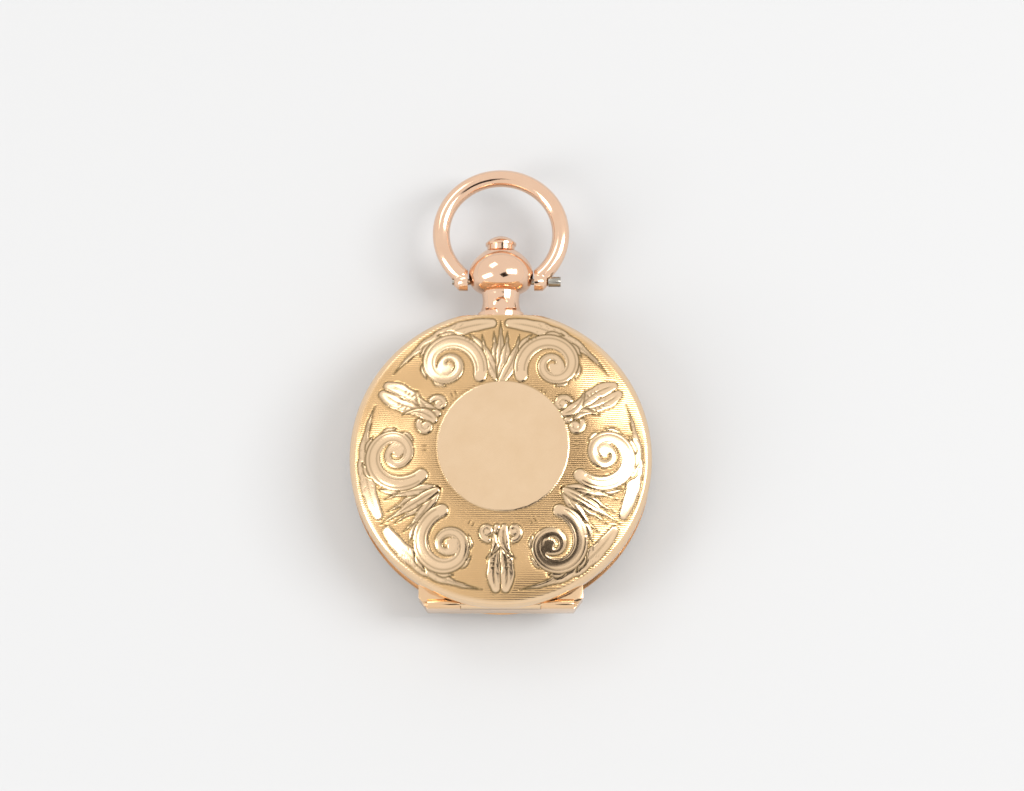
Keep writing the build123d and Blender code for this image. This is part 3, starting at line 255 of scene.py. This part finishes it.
def handled_wear(tree, shader, dark, light, roughness, blotch_mm=2.5, scratch_mm=0.12):
    """Cloudy tarnish, and fine scratches from handling, on a polished metal."""
    place = node(tree, "ShaderNodeTexCoord").outputs["Object"]
    cloud = node(tree, "ShaderNodeTexNoise", Vector=place, Scale=per_metre(blotch_mm), Detail=4.0,
                 Roughness=0.6)
    tone = node(tree, "ShaderNodeMix", {"data_type": "RGBA"}, Factor=cloud.outputs["Fac"])
    tone.inputs[6].default_value = linear(dark)
    tone.inputs[7].default_value = linear(light)
    long_way = node(tree, "ShaderNodeMapping", Vector=place, Rotation=(0.3, 0.1, 0.7),
                    Scale=(1.0, 0.06, 1.0))
    scratch = node(tree, "ShaderNodeTexNoise", Vector=long_way.outputs["Vector"], Scale=per_metre(scratch_mm),
                   Detail=3.0, Roughness=0.7)
    spread = node(tree, "ShaderNodeMapRange", Value=cloud.outputs["Fac"], To_Min=roughness * 0.75,
                  To_Max=roughness * 1.4)
    bump = node(tree, "ShaderNodeBump", Height=scratch.outputs["Fac"], Strength=0.05, Distance=0.02 * MM)
    tree.links.new(spread.outputs["Result"], shader.inputs["Roughness"])
    tree.links.new(bump.outputs["Normal"], shader.inputs["Normal"])
    tree.links.new(tone.outputs[2], shader.inputs["Base Color"])
    return place, tone, bump, spread


def chased_gold():
    """9 ct yellow gold sheet, chased and bright-cut, with a hatched ground painted darker as shade and painted
    shade in the cuts.
    """
    material, tree, shader = new_material("chased_yellow_gold", "#ecca9c", 1.0, 0.2)
    place, tone, bump, spread = handled_wear(tree, shader, "#e9c9a2", "#f0d3b0", 0.17)
    ground = node(tree, "ShaderNodeAttribute", {"attribute_name": "ground"}).outputs["Fac"]
    cut = node(tree, "ShaderNodeAttribute", {"attribute_name": "cut"}).outputs["Fac"]
    # the graver's parallel lines on the ground, drawn at 0.24 mm so that they show
    lines = node(tree, "ShaderNodeTexWave", {"bands_direction": "Y", "wave_profile": "TRI"}, Vector=place,
                 Scale=per_metre(0.24) * pi / 10, Distortion=0.6, Detail=1.0, Detail_Scale=0.3)
    hatch = node(tree, "ShaderNodeMath", {"operation": "MULTIPLY"}, i0=lines.outputs["Fac"], i1=ground)
    ground_bump = node(tree, "ShaderNodeBump", Height=hatch.outputs["Value"], Strength=0.7, Distance=0.04 * MM,
                       Normal=bump.outputs["Normal"])
    tree.links.new(ground_bump.outputs["Normal"], shader.inputs["Normal"])
    # painted shade: the recessed hatched ground is multiplied darker than the raised ornament
    shade = node(tree, "ShaderNodeMix", {"data_type": "RGBA", "blend_type": "MULTIPLY"}, Factor=ground)
    tree.links.new(tone.outputs[2], shade.inputs[6])
    shade.inputs[7].default_value = linear("#ece0c8")
    # painted shade: the cuts, ticks, veins and the cartouche's ring line are coloured dark brown where shade
    # falls in the grooves
    painted_cut_shade = node(tree, "ShaderNodeMix", {"data_type": "RGBA"}, Factor=cut)
    tree.links.new(shade.outputs[2], painted_cut_shade.inputs[6])
    painted_cut_shade.inputs[7].default_value = linear("#7a6540")
    tree.links.new(painted_cut_shade.outputs[2], shader.inputs["Base Color"])
    rough = node(tree, "ShaderNodeMath", {"operation": "MULTIPLY_ADD"}, i0=ground, i1=0.06,
                 i2=spread.outputs["Result"])
    tree.links.new(rough.outputs["Value"], shader.inputs["Roughness"])
    return material


def polished_metal(name, dark, light, roughness):
    """Turned and buffed metal with a little handling wear."""
    material, tree, shader = new_material(name, light, 1.0, roughness)
    handled_wear(tree, shader, dark, light, roughness)
    return material


def frosted_gilt():
    """Brass frosted and fire-gilt: a fine even grain and a warm matt lustre."""
    material, tree, shader = new_material("frosted_gilt_brass", "#e3c075", 1.0, 0.34)
    place = node(tree, "ShaderNodeTexCoord").outputs["Object"]
    grain = node(tree, "ShaderNodeTexNoise", Vector=place, Scale=per_metre(0.06), Detail=2.0)
    bump = node(tree, "ShaderNodeBump", Height=grain.outputs["Fac"], Strength=0.25, Distance=0.02 * MM)
    tree.links.new(bump.outputs["Normal"], shader.inputs["Normal"])
    return material


def enamel():
    """Fired white enamel: glossy, faintly uneven, warm white."""
    material, tree, shader = new_material("fired_enamel", "#f4f1e8", 0.0, 0.12, Coat_Weight=0.5,
                                          Coat_Roughness=0.05)
    place = node(tree, "ShaderNodeTexCoord").outputs["Object"]
    wave = node(tree, "ShaderNodeTexNoise", Vector=place, Scale=per_metre(3.0), Detail=2.0)
    bump = node(tree, "ShaderNodeBump", Height=wave.outputs["Fac"], Strength=0.04, Distance=0.05 * MM)
    tree.links.new(bump.outputs["Normal"], shader.inputs["Normal"])
    return material


def clear(name, colour, ior, roughness=0.02):
    """Polished transparent stone or glass."""
    return new_material(name, colour, 0.0, roughness, Transmission_Weight=1.0, IOR=ior)[0]


LID_GOLD = chased_gold()
BAND_GOLD = polished_metal("polished_yellow_gold", "#e8c096", "#f0cfa8", 0.14)
ROSE_GOLD = polished_metal("polished_rose_gold", "#e9c0a2", "#f2d0b4", 0.11)
STEEL = polished_metal("polished_steel", "#8f8b82", "#b8b4aa", 0.25)
BLUED = polished_metal("heat_blued_steel", "#101c4a", "#1d3278", 0.22)
GILT = frosted_gilt()
ENAMEL = enamel()
PAINT = new_material("fired_black_enamel_paint", "#15130f", 0.0, 0.3)[0]
RUBY = clear("polished_ruby", "#c3122f", 1.76)
GLASS = clear("polished_watch_glass", "#fbfdfd", 1.52)


# ---- Modelling helpers
def deselect():
    if bpy.context.object and bpy.context.object.mode != "OBJECT":
        bpy.ops.object.mode_set(mode="OBJECT")
    bpy.ops.object.select_all(action="DESELECT")


def choose(piece):
    deselect()
    piece.select_set(True)
    bpy.context.view_layer.objects.active = piece


def settle(piece):
    """Puts the piece's place, turn and size into its mesh."""
    choose(piece)
    bpy.ops.object.transform_apply(location=True, rotation=True, scale=True)


def dress(piece, name, material, body, angle=30):
    """Names a piece, gives it its material, smooths it and puts it on its body."""
    piece.name = name
    piece.data.name = name
    piece.data.materials.clear()
    piece.data.materials.append(material)
    choose(piece)
    bpy.ops.object.shade_smooth_by_angle(angle=radians(angle))
    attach(piece, body)
    return piece


def finished_copy(cad_node, name, material, body, angle=35, ease=0.0):
    """A copy of a CAD node with its facets merged, its sharp edges eased and its surface smoothed."""
    source = frame["nodes"][cad_node]
    piece = source.copy()
    piece.data = source.data.copy()
    piece.parent = None
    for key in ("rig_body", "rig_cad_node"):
        del piece[key]
    bpy.context.scene.collection.objects.link(piece)
    choose(piece)
    bpy.ops.object.mode_set(mode="EDIT")
    bpy.ops.mesh.select_all(action="SELECT")
    bpy.ops.mesh.remove_doubles(threshold=0.0004 * MM)
    bpy.ops.mesh.customdata_custom_splitnormals_clear()
    bpy.ops.object.mode_set(mode="OBJECT")
    if ease:
        soften = piece.modifiers.new("ease", "BEVEL")
        soften.width = ease * MM
        soften.segments = 2
        soften.limit_method = "ANGLE"
        soften.angle_limit = radians(50)
        soften.use_clamp_overlap = True
        bpy.ops.object.modifier_apply(modifier="ease")
    dress(piece, name, material, body, angle)
    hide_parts(cad_node)
    return piece


def rod(radius, x0, x1, y, z, segments=48):
    """Round rod along X, with a line let in round each end face."""
    deselect()
    middle = ((x0 + x1) / 2 * MM, y * MM, z * MM)
    bpy.ops.mesh.primitive_cylinder_add(vertices=segments, radius=radius * MM, depth=(x1 - x0) * MM,
                                        location=middle, rotation=(0, pi / 2, 0))
    piece = bpy.context.object
    bpy.ops.object.mode_set(mode="EDIT")
    bpy.ops.mesh.select_all(action="DESELECT")
    bpy.ops.object.mode_set(mode="OBJECT")
    for face in piece.data.polygons:
        face.select = len(face.vertices) > 4
    bpy.ops.object.mode_set(mode="EDIT")
    bpy.ops.mesh.inset(thickness=0.05 * MM, use_boundary=True)
    bpy.ops.object.mode_set(mode="OBJECT")
    settle(piece)
    return piece


def mesh_piece(name, points, faces):
    """Mesh made point by point, for a surface that no operator can shape. Points are in millimetres."""
    mesh = bpy.data.meshes.new(name)
    mesh.from_pydata([tuple(p) for p in np.asarray(points) * MM], [], faces)
    mesh.validate()
    piece = bpy.data.objects.new(name, mesh)
    bpy.context.scene.collection.objects.link(piece)
    return piece


# ---- The engraved covers
def ribbon_width(kind, half, along, length):
    """Half width at a distance along an ornament: leaves swell and end in a point, curls end in a bud."""
    share = along / length
    if kind == "leaf":
        swell = 0.3 + 0.7 * np.sin(pi * np.clip(share * 1.15 + 0.12, 0, 1)) ** 0.8
        lobes = 1 - 0.16 * np.abs(np.cos(pi * along / 2.3)) ** 3 * np.clip((share - 0.12) * 8, 0, 1)
        return 1.4 * half * swell * lobes * np.clip((1 - share) * 6, 0.08, 1)
    taper = 0.55 + 0.45 * np.sin(pi * np.clip(share * 0.9 + 0.15, 0, 1))
    bud = 0.75 * np.exp(-((length - along) / (0.9 * half)) ** 2)
    return 1.15 * half * (taper * (1 - 0.35 * share) + bud)


def engrave(x, y):
    """Height of the relief against the polished surface, in millimetres, with the ground and cut masks."""
    height = np.full(x.shape, -GROUND_DEPTH)
    ground = np.ones(x.shape)
    cut = np.zeros(x.shape)
    for kind, half, line in ornament():
        along = np.concatenate([[0], np.cumsum(np.hypot(*np.diff(line, axis=0).T))])
        low, high = line.min(0) - 2.5 * half - 0.4, line.max(0) + 2.5 * half + 0.4
        near = np.flatnonzero((x > low[0]) & (x < high[0]) & (y > low[1]) & (y < high[1]))
        if not len(near):
            continue
        px, py = x[near], y[near]
        gap = (px[:, None] - line[None, :, 0]) ** 2 + (py[:, None] - line[None, :, 1]) ** 2
        nearest = gap.argmin(1)
        away = np.sqrt(gap[np.arange(len(near)), nearest])
        s, length = along[nearest], along[-1]
        half_here = ribbon_width(kind, half, s, length)
        share = away / np.maximum(half_here, 0.05)
        edge = away - half_here
        inside = edge < 0
        body = -0.006 - 0.026 * np.clip(share, 0, 1) ** 2.4
        vein = np.zeros(len(near))
        if kind == "leaf" and half > 0.42:
            vein = np.exp(-(away / 0.1) ** 2)
            vein = vein * np.clip((1 - s / length) * 5, 0, 1) * np.clip(s / length * 8, 0, 1)
            flute = np.abs(((s + 1.1 * away) / 0.85) % 1 - 0.5) * 0.85
            vein = np.maximum(vein, 0.55 * np.exp(-(flute / 0.07) ** 2) * (share > 0.35) * (share < 0.92)
                              * (s / length > 0.25))
        elif kind == "curl":
            inner = np.exp(-((share - 0.5) / 0.12) ** 2) * 0.75 * np.clip((1 - s / length) * 6, 0, 1)
            vein = inner * (s > 0.6)
        body = body - 0.035 * vein
        groove = np.exp(-(edge / 0.1) ** 2)
        height[near] = np.where(inside, body, height[near])
        ground[near] = np.where(inside, 0.0, ground[near])
        cut[near] = np.where(inside, 0.7 * vein, cut[near])
        height[near] -= CUT_DEPTH * groove
        cut[near] = np.maximum(cut[near], groove)
    for (start_x, start_y), turn, count in ticks():
        for i in range(count):
            cx = start_x + TICK_STEP * i * cos(radians(turn))
            cy = start_y + TICK_STEP * i * sin(radians(turn))
            u = (x - cx) * cos(radians(turn)) + (y - cy) * sin(radians(turn))
            v = -(x - cx) * sin(radians(turn)) + (y - cy) * cos(radians(turn))
            dot = np.exp(-(u / 0.1) ** 2 - (v / 0.24) ** 2)
            height -= 0.04 * dot
            cut = np.maximum(cut, 0.9 * dot)
    from_plate = np.hypot(x - PLATE_AT[0], y - PLATE_AT[1])
    plate = np.clip((PLATE_R - from_plate) / 0.12, 0, 1)
    ring = np.exp(-((from_plate - PLATE_R) / 0.1) ** 2)
    height = height * (1 - plate) - 0.02 * ring
    ground *= 1 - plate
    cut = np.maximum(cut * (1 - plate), 0.4 * ring)
    fade = np.clip((FADE_R - np.hypot(x, y)) / FADE, 0, 1)
    return height * fade, ground * fade, cut * fade


def cover_height(radius):
    """Height of the polished cover above the watch's back, at a distance from its middle."""
    radius = np.asarray(radius, float)
    # the crown is one parabola from the flat to the rounded rim
    a = COVER_FLAT_R - 2 * CROWN_BEND_R + CROWN_EDGE_R
    b = 2 * (CROWN_BEND_R - COVER_FLAT_R)
    c = COVER_FLAT_R - np.clip(radius, COVER_FLAT_R, CROWN_EDGE_R)
    t = (-b + np.sqrt(np.maximum(b * b - 4 * a * c, 0))) / (2 * a)
    crown = CASE_T * (1 - t ** 2) + CROWN_EDGE_Z * t ** 2
    from_round = np.clip(radius, CROWN_EDGE_R, CASE_R) - RIM_ROUND_R
    rim = RIM_ROUND_Z + np.sqrt(np.maximum(RIM_ROUND ** 2 - from_round ** 2, 0))
    return np.where(radius < CROWN_EDGE_R, crown, rim)


def round_grid(rows, radius):
    """A square grid pressed into a disc, so that its cells stay nearly square."""
    u, v = np.meshgrid(np.linspace(-1, 1, rows + 1), np.linspace(-1, 1, rows + 1))
    with np.errstate(divide="ignore", invalid="ignore"):
        wide = np.abs(u) > np.abs(v)
        r = np.where(wide, u, v)
        turn = np.where(wide, pi / 4 * v / u, pi / 2 - pi / 4 * u / v)
    turn = np.nan_to_num(turn)
    return (radius * r * np.cos(turn)).ravel(), (radius * r * np.sin(turn)).ravel()


def cover_shell(name, knuckles):
    """Front cover: engraved crown, rounded rim, straight skirt and plain inside, with its hinge knuckle."""
    x, y = round_grid(GRID, GRID_R)
    height, ground, cut = engrave(x, y)
    z = cover_height(np.hypot(x, y)) + height
    side = GRID + 1
    index = np.arange(side * side).reshape(side, side)
    cells = np.stack([index[:-1, :-1], index[:-1, 1:], index[1:, 1:], index[1:, :-1]], -1)
    faces = cells.reshape(-1, 4).tolist()
    edge = np.concatenate([index[0, :-1], index[:-1, -1], index[-1, :0:-1], index[:0:-1, 0]])
    ring_angle = np.arctan2(y[edge], x[edge])
    skirt_z = FRONT_JOINT_Z + COVER_GAP
    outside = [(r, float(cover_height(r))) for r in RIM_RINGS]
    outside += [(CASE_R, RIM_ROUND_Z), (CASE_R, SKIRT_MID_Z)]
    inside = [(CASE_R, skirt_z), (CASE_R - COVER_WALL, skirt_z), (CASE_R - COVER_WALL, RIM_ROUND_Z)]
    inside += [(r, float(cover_height(r)) - CROWN_WALL) for r in INSIDE_RINGS]
    all_x, all_y, all_z = [x], [y], [z]
    last, count = edge, len(x)
    for i, (r, level) in enumerate(outside + inside):
        ring_x, ring_y = r * np.cos(ring_angle), r * np.sin(ring_angle)
        inner = i > len(outside)
        ring_y = np.minimum(ring_y, COVER_TOP_Y - (COVER_WALL if inner else 0))
        level = np.full(len(edge), level)
        over_pin = np.sqrt(np.maximum(HINGE_CLEAR_R ** 2 - (ring_y - HINGE_Y) ** 2, 0))
        rise = np.where(ring_y < HINGE_Y, HINGE_CLEAR_R, over_pin)
        at_hinge = (np.abs(ring_x) < HINGE_HALF + 0.1) & (ring_y < HINGE_Y + HINGE_CLEAR_R)
        level = np.where(at_hinge, np.maximum(level, FRONT_JOINT_Z + rise + 0.05), level)
        all_x.append(ring_x)
        all_y.append(ring_y)
        all_z.append(level)
        now = np.arange(count, count + len(edge))
        faces += np.stack([last, np.roll(last, -1), np.roll(now, -1), now], -1)[:, ::-1].tolist()
        last, count = now, count + len(edge)
    faces.append(last.tolist())
    x, y, z = np.concatenate(all_x), np.concatenate(all_y), np.concatenate(all_z)
    y = np.minimum(y, COVER_TOP_Y)
    piece = mesh_piece(name, np.stack([x, y, z], -1), faces)
    for mask_name, mask in (("ground", ground), ("cut", cut)):
        stored = piece.data.attributes.new(mask_name, "FLOAT", "POINT")
        stored.data.foreach_set("value", np.concatenate([mask, np.zeros(len(z) - len(mask))]).astype(np.float32))
    choose(piece)
    bpy.ops.object.mode_set(mode="EDIT")
    bpy.ops.mesh.select_all(action="SELECT")
    bpy.ops.mesh.normals_make_consistent(inside=False)
    bpy.ops.object.mode_set(mode="OBJECT")
    parts = [rod(KNUCKLE_R, x0, x1, HINGE_Y, FRONT_JOINT_Z) for x0, x1 in knuckles]
    parts += [lip()]
    deselect()
    for part in parts:
        part.select_set(True)
    piece.select_set(True)
    bpy.context.view_layer.objects.active = piece
    bpy.ops.object.join()
    return piece


def lip():
    """The catch: a small block inside the cover's top edge, its corners rounded."""
    deselect()
    bpy.ops.mesh.primitive_cube_add(size=1, location=[v * MM for v in LIP_AT],
                                    scale=[v * MM for v in LIP_SIZE])
    piece = bpy.context.object
    bpy.ops.object.mode_set(mode="EDIT")
    bpy.ops.mesh.select_all(action="SELECT")
    bpy.ops.mesh.bevel(offset=LIP_ROUND * MM, segments=2)
    bpy.ops.object.mode_set(mode="OBJECT")
    settle(piece)
    return piece


def flipped(piece):
    """Turns a finished cover into the one for the other side of the watch."""
    mesh = piece.data
    mesh.transform(Matrix.Translation((0, 0, CASE_T * MM)) @ Matrix.Diagonal((1, 1, -1, 1)))
    mesh.flip_normals()
    return piece


front = cover_shell("front_cover_engraved", [(-KNUCKLE_FRONT, KNUCKLE_FRONT)])
dress(front, "front_cover_engraved", LID_GOLD, "front_cover", 50)
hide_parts("front_cover")
back = flipped(cover_shell("back_cover_engraved", [(-KNUCKLE_BACK, KNUCKLE_BACK)]))
dress(back, "back_cover_engraved", LID_GOLD, "back_cover", 50)
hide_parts("back_cover")

# ---- Case, pendant and bow
finished_copy("case_band", "case_band_polished", BAND_GOLD, "case", ease=0.04)
finished_copy("pendant_neck", "pendant_neck_polished", ROSE_GOLD, "case", ease=0.05)
finished_copy("pendant_ball", "pendant_ball_polished", ROSE_GOLD, "case")
finished_copy("push_piece", "push_piece_polished", ROSE_GOLD, "push_piece", ease=0.05)
finished_copy("bow", "bow_polished", ROSE_GOLD, "bow", 60)
finished_copy("bow_screw", "bow_screw_turned", STEEL, "case", ease=0.04)
finished_copy("glass_bezel", "glass_bezel_polished", BAND_GOLD, "case")
finished_copy("crystal", "crystal_polished", GLASS, "case")
finished_copy("cuvette", "cuvette_polished", BAND_GOLD, "cuvette", ease=0.04)
finished_copy("dial", "dial_enamelled", ENAMEL, "case", ease=0.08)
finished_copy("hour_hand", "hour_hand_blued", BLUED, "hour", ease=0.02)
finished_copy("minute_hand", "minute_hand_blued", BLUED, "setting", ease=0.02)


# ---- Dial painting
def painted(pieces, name):
    """Joins dabs of dial paint into one piece that lies on the enamel."""
    deselect()
    for piece in pieces:
        piece.select_set(True)
    bpy.context.view_layer.objects.active = pieces[0]
    bpy.ops.object.join()
    piece = bpy.context.object
    settle(piece)
    return dress(piece, name, PAINT, "case")


def numeral(text, hour):
    """Roman hour numeral, standing out from the dial's middle."""
    turn = radians(90 - 30 * hour)
    deselect()
    bpy.ops.object.text_add(location=(NUMERAL_R * cos(turn) * MM, NUMERAL_R * sin(turn) * MM, DIAL_TOP * MM),
                            rotation=(0, 0, turn - pi / 2))
    piece = bpy.context.object
    piece.data.body = text
    piece.data.size = NUMERAL_SIZE * MM
    piece.data.space_character = 0.86
    piece.data.align_x, piece.data.align_y = "CENTER", "CENTER"
    piece.data.extrude = PAINT_T * MM
    piece.data.offset = 0.02 * MM
    bpy.ops.object.convert(target="MESH")
    piece = bpy.context.object
    piece.data.transform(Matrix.Diagonal((NUMERAL_NARROWING, 1, 1, 1)))
    settle(piece)
    return piece


def track_ring(radius, width):
    """Thin painted circle."""
    deselect()
    bpy.ops.mesh.primitive_circle_add(vertices=180, radius=radius * MM, location=(0, 0, DIAL_TOP * MM))
    piece = bpy.context.object
    bpy.ops.object.mode_set(mode="EDIT")
    bpy.ops.mesh.select_all(action="SELECT")
    bpy.ops.mesh.extrude_edges_move()
    scale = (radius + width) / radius
    bpy.ops.transform.resize(value=(scale, scale, 1))
    bpy.ops.mesh.select_all(action="SELECT")
    bpy.ops.mesh.extrude_region_move(TRANSFORM_OT_translate={"value": (0, 0, PAINT_T * MM)})
    bpy.ops.mesh.select_all(action="SELECT")
    bpy.ops.mesh.normals_make_consistent(inside=False)
    bpy.ops.object.mode_set(mode="OBJECT")
    settle(piece)
    return piece


def minute_mark(minute):
    wide = FIVE_MINUTE_WIDTH if minute % 5 == 0 else MINUTE_WIDTH
    turn = radians(6 * minute)
    deselect()
    place = (MINUTE_R * cos(turn) * MM, MINUTE_R * sin(turn) * MM, (DIAL_TOP + PAINT_T / 2) * MM)
    bpy.ops.mesh.primitive_cube_add(size=1, location=place, rotation=(0, 0, turn),
                                    scale=(MINUTE_LENGTH * MM, wide * MM, PAINT_T * MM))
    piece = bpy.context.object
    settle(piece)
    return piece


HOURS = ("XII", "I", "II", "III", "IIII", "V", "VI", "VII", "VIII", "IX", "X", "XI")
painted([numeral(text, hour) for hour, text in enumerate(HOURS)], "dial_numerals")
painted([track_ring(radius, TRACK_LINE) for radius in TRACK_R] + [minute_mark(m) for m in range(60)],
        "dial_minute_track")

# ---- Movement and small parts keep their CAD shapes
FINISHES = {
    GILT: ("main_plate", "barrel_bridge", "centre_bridge", "third_cock", "fourth_cock", "escape_cock",
           "balance_cock", "barrel_drum", "barrel_cover", "centre_wheel", "third_wheel", "fourth_wheel",
           "minute_wheel", "hour_wheel", "balance_wheel", "dial_feet"),
    STEEL: ("lift_spring", "spring_screws", "lock_spring", "escape_wheel", "barrel_arbor", "ratchet_wheel",
            "click", "balance_cylinder", "set_arbor", "cannon_pinion", "regulator", "hairspring_stud",
            "minute_wheel_stud", "click_spring", "case_screws", "end_stone"),
    BLUED: ("hairspring", "mainspring", "bridge_screws", "click_screw"),
    RUBY: ("train_jewels",),
    BAND_GOLD: ("front_hinge_pin", "back_hinge_pin"),
}
for material, names in FINISHES.items():
    for name in names:
        mesh = frame["nodes"][name].data
        mesh.materials.clear()
        mesh.materials.append(material)

# ---- Studio: pale floor, soft boxes at the right, the left and above, and a dark card
deselect()
bpy.ops.mesh.primitive_plane_add(size=6, location=(0, 0, 0))
floor = bpy.context.object
floor.name = "floor"
paper = new_material("matt_white_paper", "#c9cacb", 0.0, 0.8)[0]
floor.data.materials.append(paper)


def aimed(piece, at, target=(0, 4, 6)):
    """Stands a light, card or camera at a point, looking at the watch."""
    piece.location = Vector(at) * MM
    piece.rotation_mode = "QUATERNION"
    piece.rotation_quaternion = ((Vector(at) - Vector(target)) * MM).to_track_quat("Z", "Y")
    return piece


def soft_box(name, at, width, height, watts, colour="#ffffff"):
    light = bpy.data.lights.new(name, "AREA")
    light.shape = "RECTANGLE"
    light.size, light.size_y = width * MM, height * MM
    light.energy = watts
    light.color = linear(colour)[:3]
    lamp = bpy.data.objects.new(name, light)
    bpy.context.scene.collection.objects.link(lamp)
    return aimed(lamp, at)


soft_box("right_box", (430, 40, 520), 200, 420, 2.2)
soft_box("left_box", (-520, -200, 420), 220, 460, 1.6)
soft_box("top_box", (-420, 520, 760), 420, 300, 1.0)

deselect()
bpy.ops.mesh.primitive_plane_add(size=1)
card = bpy.context.object
card.name = "dark_card"
card.scale = (0.34, 0.34, 1)
aimed(card, (165, -235, 760))
card.data.materials.append(new_material("black_felt_card", "#1a0f0a", 0.0, 0.9)[0])

world = bpy.data.worlds.new("studio")
bpy.context.scene.world = world
world.use_nodes = True
world.node_tree.nodes["Background"].inputs["Color"].default_value = linear("#f4f2f0")
world.node_tree.nodes["Background"].inputs["Strength"].default_value = 1.08

camera = bpy.data.objects.new("camera", bpy.data.cameras.new("camera"))
bpy.context.scene.collection.objects.link(camera)
elevation = radians(79)
distance = 450
look_at = (1.26, 7.70, 5.8)
stands_at = (look_at[0], look_at[1] - distance * cos(elevation), look_at[2] + distance * sin(elevation))
aimed(camera, stands_at, look_at)
camera.data.sensor_width = 36
camera.data.lens = 139.5
camera.data.clip_start, camera.data.clip_end = 0.05, 20
bpy.context.scene.camera = camera
bpy.context.scene.view_settings.view_transform = "Standard"
